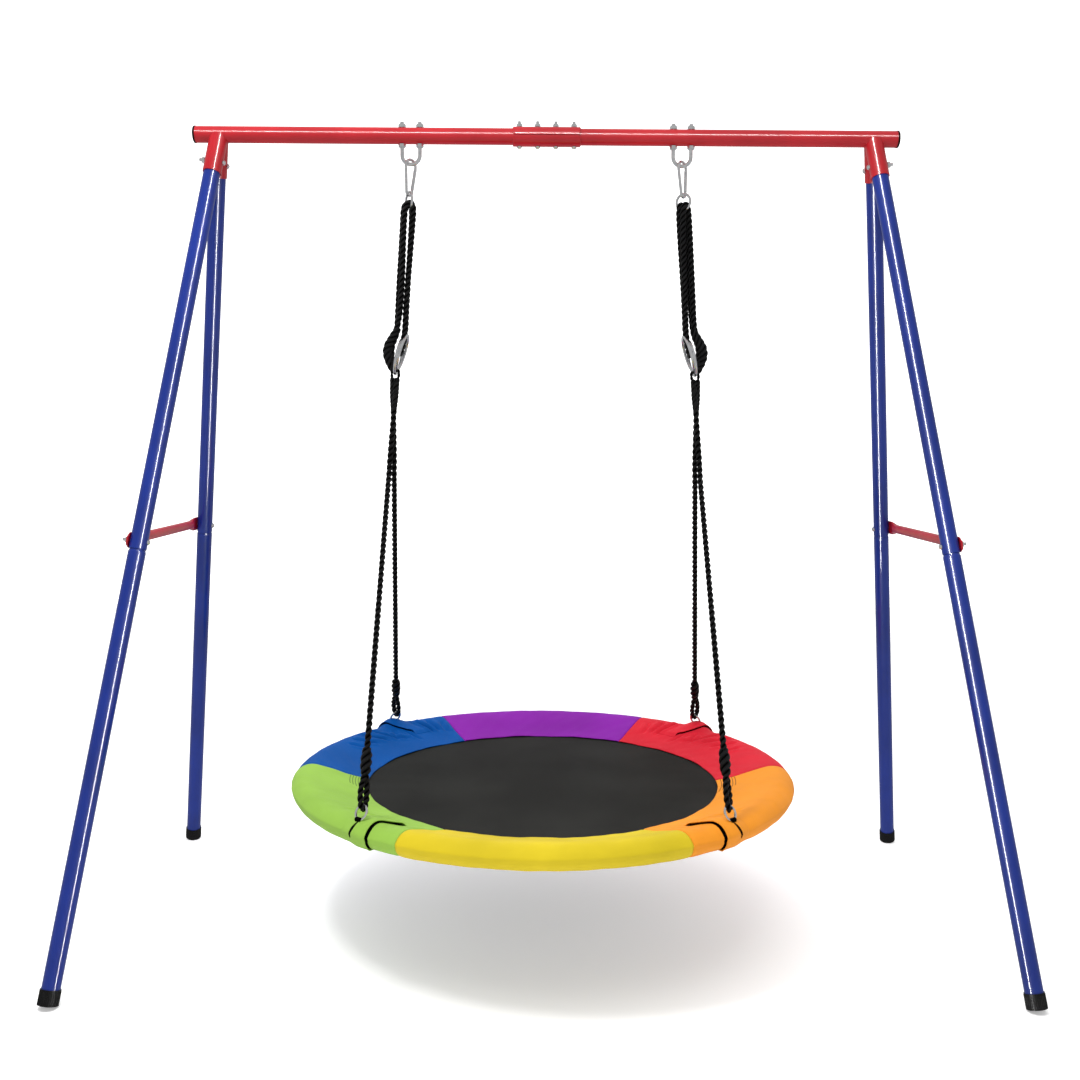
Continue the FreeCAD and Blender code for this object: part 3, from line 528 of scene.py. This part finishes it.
def cover_point(theta, row, extra):
    """A place on the cover's outside at an angle and a row, raised by something extra."""
    base = SECTION[row]
    normal = section_normal(row)
    offset = cover_offset(theta, base.x, base.z) + extra
    place = base + normal * offset
    turn = math.radians(theta)
    return Vector((place.x * math.cos(turn), place.x * math.sin(turn), place.z))


def cover_piece(name, start):
    """One coloured sixth of the cover, folded in a little at its two seams."""
    verts = []
    uvs = []
    rows = len(SECTION)
    for row in range(rows):
        for column in range(SEGMENT_STEPS + 1):
            theta = start + SEGMENT_TURN * column / SEGMENT_STEPS
            from_seam = min(column, SEGMENT_STEPS - column) / SEGMENT_STEPS
            edge = from_seam * math.radians(SEGMENT_TURN) * CORE_RADIUS
            seam = -SEAM_DEPTH * math.exp(-(edge / SEAM_WIDTH) ** 2)
            verts.append(cover_point(theta, row, seam))
            uvs.append((math.radians(theta) * CORE_RADIUS, row * UV_ROW))
    faces = [tuple(reversed(face)) for face in grid_faces(rows, SEGMENT_STEPS + 1)]
    piece = mesh_object("cover_" + name, verts, faces, covers[name], uvs)
    thicken(piece, COVER_THICKNESS)
    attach(piece, "seat")
    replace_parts(piece, "rim_cover")


def thicken(piece, thickness):
    """Give a surface its thickness, inwards from its outer face."""
    solid = piece.modifiers.new("thickness", "SOLIDIFY")
    solid.thickness = thickness
    solid.offset = -1
    apply_modifiers(piece)


def apply_modifiers(piece):
    """Bake an object's modifiers into its mesh."""
    bpy.context.view_layer.update()
    graph = bpy.context.evaluated_depsgraph_get()
    mesh = bpy.data.meshes.new_from_object(piece.evaluated_get(graph))
    mesh.name = piece.name
    piece.modifiers.clear()
    piece.data = mesh


def section_angle(row):
    """The turn of a row round the rim's core: 0 straight out, 90 on top, negative underneath."""
    base = SECTION[row]
    return math.degrees(math.atan2(base.z - CORE_Z, base.x - CORE_RADIUS))


def rim_band(name, corner, first, last, low_edge, high_edge, rise, thickness, material):
    """A band laid over the cover across the rim; its edges and rise are functions of place.

    low_edge and high_edge take the share of the way from the first row to the last, and rise takes
    that share and the share across.
    """
    columns = 34
    verts = []
    uvs = []
    rows = range(first, last + 1)
    for row in rows:
        share = (row - first) / (last - first)
        low = low_edge(share)
        high = high_edge(share)
        for column in range(columns + 1):
            across = column / columns
            u = low + (high - low) * across
            theta = STRAP_ANGLE[corner] + TAB_SIDE[corner] * math.degrees(u / CORE_RADIUS)
            verts.append(cover_point(theta, row, rise(share, across)))
            uvs.append((u, row * UV_ROW))
    faces = grid_faces(len(rows), columns + 1)
    if TAB_SIDE[corner] > 0:
        faces = [tuple(reversed(face)) for face in faces]
    piece = mesh_object(name, verts, faces, material, uvs)
    thicken(piece, thickness)
    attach(piece, "seat")
    return piece


def segment_color(angle):
    return [name for name, start in SEGMENTS if start <= angle % 360 < start + SEGMENT_TURN][0]


def first_row(test):
    """The first row of the section that passes a test, counted from under the rim."""
    return next(row for row in range(len(SECTION)) if test(row))


def strap_tabs():
    """Cover-coloured tabs over the webbing, with a dark band at each slit: the black webbing, widened
    where the slit's shade falls, so partly painted shade.
    """
    lower = first_row(lambda row: section_angle(row) > -75 and SECTION[row].x > 0.48)
    inner = first_row(lambda row: SECTION[row].z > CORE_Z and SECTION[row].x < 0.420)
    mouth = first_row(lambda row: section_angle(row) > -4 and SECTION[row].x > CORE_RADIUS)
    crown = first_row(lambda row: section_angle(row) > 66 and SECTION[row].z > CORE_Z)
    for corner, angle in STRAP_ANGLE.items():
        back = corner.startswith("back")
        inner_edge = -0.004 if back else 0.047
        outer_edge = 0.034
        tab_width = 0.060

        def edge(share):
            bow = 0.0035 * math.sin(math.pi * share)
            return outer_edge - bow + (inner_edge - outer_edge) * smooth_step(share, 0.50, 1.0)

        def blend_edge(share):
            return edge(share) - tab_width

        # The dark band's outer edge: partly the webbing under the tab, partly painted shade, its bulges
        # widening it where the slit's shadow falls.
        def dark_edge(share):
            outer = 0.0036 * math.exp(-((share - 0.30) / 0.20) ** 2)
            end = 0.0058 * math.exp(-((share - 0.86) / 0.09) ** 2)
            if back:
                return edge(share) + (0.0009 + outer) * (1 - smooth_step(share, 0.36, 0.50)) - 0.0004
            return edge(share) + 0.0009 + outer + end

        def dark_start(share):
            return edge(share) - 0.010

        def tab_rise(share, across):
            ends = smooth_step(share, 0.0, 0.06) * (1 - smooth_step(share, 0.90, 1.0))
            lip = 0.0012 * math.exp(-((1 - across) / 0.06) ** 2)
            return 0.0004 + (0.0034 * smooth_step(across, 0.0, 0.55) + lip) * ends

        def dark_rise(share, across):
            return 0.0009 * (1 - smooth_step(share, 0.92, 1.0)) * (1 - 0.8 * smooth_step(across, 0.9, 1.0))

        dark = rim_band("slit_webbing_and_shade_" + corner, corner, lower, inner, dark_start, dark_edge, dark_rise,
                        0.0008, webbing)
        color = segment_color(angle)
        tab = rim_band("cover_tab_" + corner, corner, lower, inner, blend_edge, edge, tab_rise,
                       COVER_THICKNESS, covers[color])

        def mouth_half(share):
            return 0.0006 + 0.0026 * math.sin(math.pi * share) ** 0.7

        def mouth_low(share):
            return -0.004 + 0.006 * share - mouth_half(share)

        def mouth_high(share):
            return -0.004 + 0.006 * share + mouth_half(share)

        def mouth_rise(share, across):
            return 0.0042

        strap_mouth = rim_band("strap_mouth_" + corner, corner, mouth, crown, mouth_low, mouth_high,
                               mouth_rise, 0.0010, webbing)


def pleat_lines():
    """Fine pleats at the cover's inner edge, where green and orange meet their neighbours, drawn as thin
    raised lines in a darker copy of the cover's colour: painted shade in the pleats' folds.
    """
    inner = first_row(lambda row: SECTION[row].x < 0.365)
    pleats = 6
    steps = 40
    lift = 0.0011
    pleat_shade_radius = 0.0010
    for color, centre, way in (("green", 180, 1), ("orange", 360, -1)):
        # Painted shade: the cover's own colour darkened for the lines in the pleats' folds.
        pleat_shade = new_material("pleat_shade_line_" + color, shade(COVER_COLORS[color], 0.34), 0.7)[0]
        for k in range(pleats):
            start_row = inner - 2 - 2.5 * k
            line = []
            for step in range(steps + 1):
                gap = 0.25 + (13.5 - 0.9 * k) * step / steps
                row = min(len(SECTION) - 1.001, start_row + 0.012 * gap ** 2)
                low_row = int(row)
                theta = centre + way * gap
                below = cover_point(theta, low_row, lift)
                above = cover_point(theta, low_row + 1, lift)
                line.append(below.lerp(above, row - low_row))
            verts, faces, uvs = strand_verts(line, 1, pleat_shade_radius, 0, 1.0, sides=6)
            thread_piece = mesh_object("pleat_%s_%d" % (color, k), verts, faces, pleat_shade, uvs)
            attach(thread_piece, "seat")


def seat_mat():
    """The taut mat: a thin disc with a slight sag and faint tension ripples near its edge."""
    rings = 70
    columns = 180
    deepest_sag = 0.004
    verts = []
    uvs = []
    for ring in range(rings + 1):
        radius = max(0.0004, MAT_RADIUS * ring / rings)
        for column in range(columns):
            turn = 2 * math.pi * column / columns
            sag = -deepest_sag * (1 - (radius / MAT_RADIUS) ** 2)
            ripple = 0.0005 * smooth_step(radius, 0.2, 0.36) * math.sin(turn * 24) * math.sin(turn * 5 + 1)
            height = MAT_TOP + sag + ripple * (1 - smooth_step(radius, 0.40, 0.46)) - 0.0004
            x = radius * math.cos(turn)
            y = radius * math.sin(turn)
            verts.append(Vector((x, y, height)))
            uvs.append((x, y))
    faces = grid_faces(rings + 1, columns, True)
    faces.append(tuple(reversed(range(columns))))
    mat = mesh_object("woven_mat", verts, faces, mat_cloth, uvs)
    thicken(mat, 0.0016)
    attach(mat, "seat")
    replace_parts(mat, "seat_mat")


# ---------------------------------------------------------------- ropes

HANGER_X = 0.268
HANG_SLOPE = 0.061
EYE_Z = 1.520
ADJUSTER_Z = 1.143
STRAND_PITCH = 0.0107
BUNDLE_PITCH = 0.012
ROPE = 0.010
THICK_ROPE = 0.0126
BIGHT = 0.021
LOWER_ROPE = 0.0122
EYE_TAIL = 0.0112
EYE_SPLICE = 0.0215
HEAD_SPLICE = 0.0118
RING_LOOP = 0.0066
LINK_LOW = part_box("round_link_left")[0][2] + 0.0025
# How far each side's outer pair has turned at mid height, from the link's turn to square on
OUTER_TURN = {"left": -0.6, "right": 0.62}
BUNDLE_TOP = 1.098
SPLIT_Z = 0.905
# How far back from a ring an eye's splice begins and ends
SPLICE_LOW = 0.066
SPLICE_HIGH = 0.106
STRAP_TILT = 22
RING_RADIUS = 0.013


def hang(side, z):
    """A point at some height on a side's hanging line, which leans outwards a little."""
    return Vector((side * (HANGER_X + HANG_SLOPE * (EYE_Z - z)), 0, z))


def strand_point(side, label, strand, z, share, out):
    """A point on one strand of the doubled upper rope."""
    at_link = LINK_TURN[label] + 180
    turn = math.radians(at_link + (90 - at_link) * share)
    pair = Vector((math.cos(turn), math.sin(turn), 0))
    outwards = Vector((side * math.sin(turn), -side * math.cos(turn), 0))
    return hang(side, z) + pair * (strand * STRAND_PITCH / 2) + outwards * out


def rope_bight(side, label, strand, name):
    """The thick turn of a strand round the outer side of the adjuster rings."""
    line = route_line([
        strand_point(side, label, strand * 0.9, 1.200, 1, 0.008),
        strand_point(side, label, strand * 0.9, 1.182, 1, 0.015),
        strand_point(side, label, strand * 0.9, 1.160, 1, 0.0265),
        strand_point(side, label, strand * 0.9, 1.134, 1, 0.0225),
        strand_point(side, label, strand * 0.9, 1.112, 1, 0.010),
    ])
    bight = laid_rope("bight_" + name, line, BIGHT, strands=4, pitch=0.045,
                      swell=lambda share: 0.58 + 0.42 * math.sin(math.pi * share) ** 0.8)
    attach(bight, "hanger_" + label)
    return bight


def upper_rope(side, label, strand, place):
    """Up the inner leg, over the link, down the outer leg and round through the adjuster."""
    bend = 0.0025 + ROPE / 2 + 0.0014
    top = LINK_LOW + bend + 0.0011
    route = [
        strand_point(side, label, strand, 1.146, 1, 0.002),
        strand_point(side, label, strand, 1.170, 1, -0.0075),
        strand_point(side, label, strand, 1.250, 1, -0.0062),
        strand_point(side, label, strand, 1.400, 0.4, -bend),
        strand_point(side, label, strand, top, 0, -bend),
        strand_point(side, label, strand, top, 0, bend),
        strand_point(side, label, strand, 1.400, 0.4, bend),
        strand_point(side, label, strand, 1.260, OUTER_TURN[label], 0.0088),
        strand_point(side, label, strand, 1.192, 0.8, 0.0090),
        strand_point(side, label, strand, 1.160, 1, 0.0215),
        strand_point(side, label, strand, 1.118, 1, 0.0145),
    ]
    line = route_line(route)
    name = "upper_rope_%s_%s" % (label, place)
    piece = laid_rope("braid_" + name, line, THICK_ROPE, strands=3, pitch=0.034)
    bight = rope_bight(side, label, strand, name)
    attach(piece, "hanger_" + label)
    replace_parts(piece, name)


def strap_directions(corner):
    """Directions at a strap: outwards, along the rim, and the strap's own, which leans out."""
    turn = math.radians(STRAP_ANGLE[corner])
    outwards = Vector((math.cos(turn), math.sin(turn), 0))
    along_rim = Vector((-math.sin(turn), math.cos(turn), 0))
    tilt = math.radians(STRAP_TILT)
    return outwards, along_rim, outwards * math.sin(tilt) + Vector((0, 0, 1)) * math.cos(tilt)


def strap_eye(corner):
    """The middle of the webbing's eye, in which the ring hangs."""
    outwards, along_rim, lean = strap_directions(corner)
    flat = along_rim.cross(lean)
    return outwards * CORE_RADIUS + Vector((0, 0, CORE_Z)) + lean * 0.0292 - flat * 0.002


def bundle_point(side, depth, z, turn):
    """A point on one of the two lower ropes of a side where they run together."""
    share = (BUNDLE_TOP - z) / (BUNDLE_TOP - SPLIT_Z)
    centre = hang(side, ADJUSTER_Z).x + side * (0.003 + 0.0082 + 0.0075 * share)
    angle = math.radians(turn)
    offset = Vector((side * math.sin(angle), -math.cos(angle), 0)) * (-depth * BUNDLE_PITCH / 2)
    return Vector((centre, 0, z)) + offset


def ring_loop(label, side):
    """The lower ropes' loop through both adjuster rings, round their low point."""
    rings = frame["nodes"]["adjuster_rings_" + label]
    points = [rings.matrix_world @ vertex.co for vertex in rings.data.vertices]
    lowest = min(point.z for point in points)
    near = [point.x for point in points if point.z < lowest + 0.004]
    middle = (min(near) + max(near)) / 2
    half = (max(near) - min(near)) / 2 + 0.0042
    neck = hang(side, ADJUSTER_Z).x + side * 0.0112
    line = route_line([
        Vector((neck, 0, 1.080)),
        Vector((neck - 0.003, 0, lowest - 0.012)),
        Vector((middle - half, 0, lowest - 0.002)),
        Vector((middle - half, 0, lowest + 0.008)),
        Vector((middle - half * 0.5, 0, lowest + 0.0125)),
        Vector((middle + half * 0.5, 0, lowest + 0.0125)),
        Vector((middle + half, 0, lowest + 0.008)),
        Vector((middle + half, 0, lowest - 0.002)),
        Vector((neck + 0.003, 0, lowest - 0.012)),
        Vector((neck, 0, 1.080)),
    ])
    loop = laid_rope("ring_loop_" + label, line, RING_LOOP, strands=2, pitch=0.018)
    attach(loop, "seat")


def lower_rope(corner, side, depth):
    """Down beside its neighbour, then taut to its strap's ring, where it is spliced into an eye."""
    along_rim = strap_directions(corner)[1]
    eye = strap_eye(corner)
    split_middle = Vector((hang(side, ADJUSTER_Z).x + side * 0.0187, 0, SPLIT_Z))
    pull = split_middle - eye
    pull = (pull - along_rim * pull.dot(along_rim)).normalized()
    low = eye + pull * (RING_RADIUS + 0.0058)
    split = bundle_point(side, depth, SPLIT_Z, 52)
    down = (low - split).normalized()
    across = along_rim.cross(pull).normalized()
    if depth < 0:
        across = Vector((0.35, 0.94, 0))
    across = (across - down * across.dot(down)).normalized()
    knot_low = low - down * SPLICE_LOW
    knot_high = low - down * SPLICE_HIGH
    start = [
        bundle_point(side, depth, BUNDLE_TOP, -50),
        bundle_point(side, depth, 1.010, 0),
        bundle_point(side, depth, 0.940, 40),
        split,
        split + down * 0.030,
        split.lerp(knot_high, 0.5),
        knot_high,
        knot_low,
    ]
    loop = [(0.052, 0.0055), (0.034, 0.0105), (0.016, 0.0100), (0.003, 0.0060), (0.0, 0.0)]
    near_leg = [low - down * back + across * spread for back, spread in loop]
    far_leg = [low - down * back - across * spread for back, spread in loop]
    line = route_line(start + near_leg)
    name = "lower_rope_" + corner
    piece = laid_rope("laid_" + name, line, LOWER_ROPE, strands=2, pitch=0.025)
    tail = laid_rope("eye_tail_" + corner, route_line([knot_high, knot_low] + far_leg), EYE_TAIL,
                     strands=2, pitch=0.025)
    knot_end = down * 0.004
    knot_line = route_line([knot_high - knot_end, knot_high.lerp(knot_low, 0.5), knot_low + knot_end])
    knot = laid_rope("splice_" + corner, knot_line, EYE_SPLICE, strands=3, pitch=0.042,
                     swell=lambda share: 0.62 + 0.38 * math.sin(math.pi * share) ** 0.4)
    head_line = route_line([bundle_point(side, depth, z, turn) for z, turn in
                            ((1.1005, -60), (1.080, -50), (1.035, -20))])
    head = laid_rope("head_splice_" + corner, head_line, HEAD_SPLICE, strands=4, pitch=0.034,
                     swell=lambda share: 0.80 + 0.2 * math.sin(math.pi * share))
    for extra in (tail, knot, head):
        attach(extra, "seat")
    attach(piece, "seat")
    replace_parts(piece, name)


def webbing_eye(corner):
    """The strap's narrow end: a loop of webbing out of the cover's slit and round the ring."""
    row_step = 0.0012
    thickness = 0.0012
    narrow_half = 0.0065
    along_rim, lean = strap_directions(corner)[1:]
    eye = strap_eye(corner)
    flat = along_rim.cross(lean)
    section = [eye - lean * 0.020 + flat * 0.0018, eye - lean * 0.007 + flat * 0.0022]
    for k in range(9):
        turn = math.radians(-50 + 280 * k / 8)
        section.append(eye + (flat * math.cos(turn) + lean * math.sin(turn)) * 0.0046)
    section += [eye - lean * 0.007 - flat * 0.0022, eye - lean * 0.020 - flat * 0.0018]
    line = even_line(route_line(section), row_step)
    verts = []
    uvs = []
    columns = 8
    for row, point in enumerate(line):
        down = max(0.0, (eye - point).dot(lean))
        half = narrow_half + 0.35 * max(0.0, down - 0.006)
        for column in range(columns + 1):
            across = (column / columns * 2 - 1) * half
            verts.append(point + along_rim * across)
            uvs.append((across, row * row_step))
    piece = mesh_object("webbing_eye_" + corner, verts, grid_faces(len(line), columns + 1), webbing, uvs)
    thicken(piece, thickness)
    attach(piece, "seat")
    return piece


# ---------------------------------------------------------------- braces

# How far a leg leans outwards over the height of the beam
LEG_LEAN = 0.207
BEAM_HEIGHT = 1.575


def brace(label, side):
    """A round tube pressed flat at both ends, over the bolts."""
    low, high = [Vector(corner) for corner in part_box("brace_" + label)]
    centre = (low + high) / 2
    half = (high.y - low.y) / 2
    lean = math.atan2(LEG_LEAN, BEAM_HEIGHT) * side
    radius = 0.00925
    flat_half_thickness = 0.0016
    flat_half_height = 0.0145
    flat_at = half - 0.037
    round_at = half - 0.073
    steps = 120
    sides = 40
    stations = [-half + 2 * half * step / steps for step in range(steps + 1)]
    verts = []
    uvs = []
    for y in stations:
        flat = smooth_step(abs(y), round_at, flat_at)
        tip = smooth_step(abs(y), half - 0.012, half)
        half_x = radius + (flat_half_thickness - radius) * flat
        half_z = (radius + (flat_half_height - radius) * flat) * (1 - 0.45 * tip)
        power = 1.0 - 0.55 * flat
        for k in range(sides):
            turn = 2 * math.pi * k / sides
            cx = math.copysign(abs(math.cos(turn)) ** power, math.cos(turn)) * half_x
            cz = math.copysign(abs(math.sin(turn)) ** power, math.sin(turn)) * half_z
            x = cx * math.cos(lean) - cz * math.sin(lean)
            z = cx * math.sin(lean) + cz * math.cos(lean)
            verts.append(centre + Vector((x, 0, z)) + Vector((0, y, 0)))
            uvs.append((y, k / sides))
    faces = grid_faces(len(stations), sides, True)
    faces.append(tuple(reversed(range(sides))))
    faces.append(tuple((len(stations) - 1) * sides + k for k in range(sides)))
    piece = mesh_object("pressed_brace_" + label, verts, faces, paints["red"], uvs)
    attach(piece, "frame")
    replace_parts(piece, "brace_" + label)


# ---------------------------------------------------------------- stage

# The painted parts in which the two narrow lamps are mirrored
LEG_PARTS = ("upper_leg", "lower_leg", "leg_socket", "foot_cap")
BEAM_PARTS = ("beam_tube", "splice_shell")


def stage():
    """A pale floor and backdrop, soft studio light."""
    reach = 14
    wall_y = 4.5
    wall_top = 8
    floor_corners = [(-reach, -reach, 0), (reach, -reach, 0), (reach, wall_y, 0), (-reach, wall_y, 0)]
    wall_corners = [(-reach, wall_y, -0.1), (reach, wall_y, -0.1),
                    (reach, wall_y, wall_top), (-reach, wall_y, wall_top)]
    floor = pale_sheet("floor", "pale_floor", 0.8, 0.3, floor_corners)
    wall = pale_sheet("backdrop", "pale_backdrop", 0.9, 0.8, wall_corners)
    world = bpy.data.worlds.new("studio")
    world.use_nodes = True
    world.node_tree.nodes["Background"].inputs["Color"].default_value = (1, 1, 1, 1)
    world.node_tree.nodes["Background"].inputs["Strength"].default_value = 0.42
    scene.world = world
    for name, place, target, width, power in (("key", (-0.9, -0.9, 2.7), (0, 0, 0.6), 0.4, 26),
                                              ("front_fill", (0.4, -3.6, 1.5), (0, 0, 0.8), 2.2, 24),
                                              ("overhead", (-0.3, -0.6, 4.2), (0, 0, 0.3), 4.0, 105)):
        area_light(name, place, target, width, width, power).visible_glossy = False
    strips = ((area_light("leg_strip", (0.13, -0.95, 1.2), (0.13, 0, 1.2), 0.13, 3.2, 150), LEG_PARTS),
              (area_light("beam_strip", (0, -1.25, 2.42), (0, 0, 1.575), 2.6, 0.13, 62), BEAM_PARTS))
    for strip, prefixes in strips:
        strip.visible_camera = False
        strip.visible_diffuse = False
        lit = bpy.data.collections.new("lit_by_" + strip.name)
        for node, obj in frame["nodes"].items():
            if node.startswith(prefixes):
                lit.objects.link(obj)
        strip.light_linking.receiver_collection = lit


def pale_sheet(name, material_name, roughness, glow, corners):
    """A flat pale sheet with a faint glow, which isn't mirrored in anything."""
    material, shader = new_material(material_name, (0.93, 0.93, 0.93), roughness)
    shader.inputs["Emission Color"].default_value = (1, 1, 1, 1)
    shader.inputs["Emission Strength"].default_value = glow
    sheet = mesh_object(name, corners, [(0, 1, 2, 3)], material)
    sheet.visible_glossy = False
    return sheet


def area_light(name, place, target, width, height, power):
    """A rectangular lamp aimed at a point, its height along the vertical."""
    data = bpy.data.lights.new(name, "AREA")
    data.shape = "RECTANGLE"
    data.size = width
    data.size_y = height
    data.energy = power
    lamp = bpy.data.objects.new(name, data)
    lamp.location = place
    lamp.rotation_euler = (Vector(target) - Vector(place)).to_track_quat("-Z", "Y").to_euler()
    scene.collection.objects.link(lamp)
    return lamp


def camera():
    """A camera a little above half height, tipped down and very slightly rolled."""
    yaw = math.radians(0.28)
    pitch = math.radians(-4.87)
    roll = math.radians(0.34)
    forward = Vector((math.sin(yaw) * math.cos(pitch), math.cos(yaw) * math.cos(pitch), math.sin(pitch)))
    right = Vector((math.cos(yaw), -math.sin(yaw), 0))
    up = right.cross(forward)
    turned_right = right * math.cos(roll) + up * math.sin(roll)
    turned_up = up * math.cos(roll) - right * math.sin(roll)
    data = bpy.data.cameras.new("camera")
    data.lens = 38.95
    data.sensor_width = 36
    view = bpy.data.objects.new("camera", data)
    turn = Matrix((turned_right, turned_up, -forward)).transposed()
    view.matrix_world = Matrix.Translation((-0.0201, -2.3681, 0.9774)) @ turn.to_4x4()
    scene.collection.objects.link(view)
    scene.camera = view


# ---------------------------------------------------------------- assembly

scene.view_settings.view_transform = "Standard"
camera()
stage()
paint_cad_nodes()
for label, side in SIDES.items():
    for strand, place in ((-1, "front"), (1, "back")):
        upper_rope(side, label, strand, place)
    ring_loop(label, side)
    brace(label, side)
for corner, (side, depth) in CORNERS.items():
    lower_rope(corner, side, depth)
    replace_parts(webbing_eye(corner), "rim_straps")
for name, start in SEGMENTS:
    cover_piece(name, start)
strap_tabs()
pleat_lines()
seat_mat()
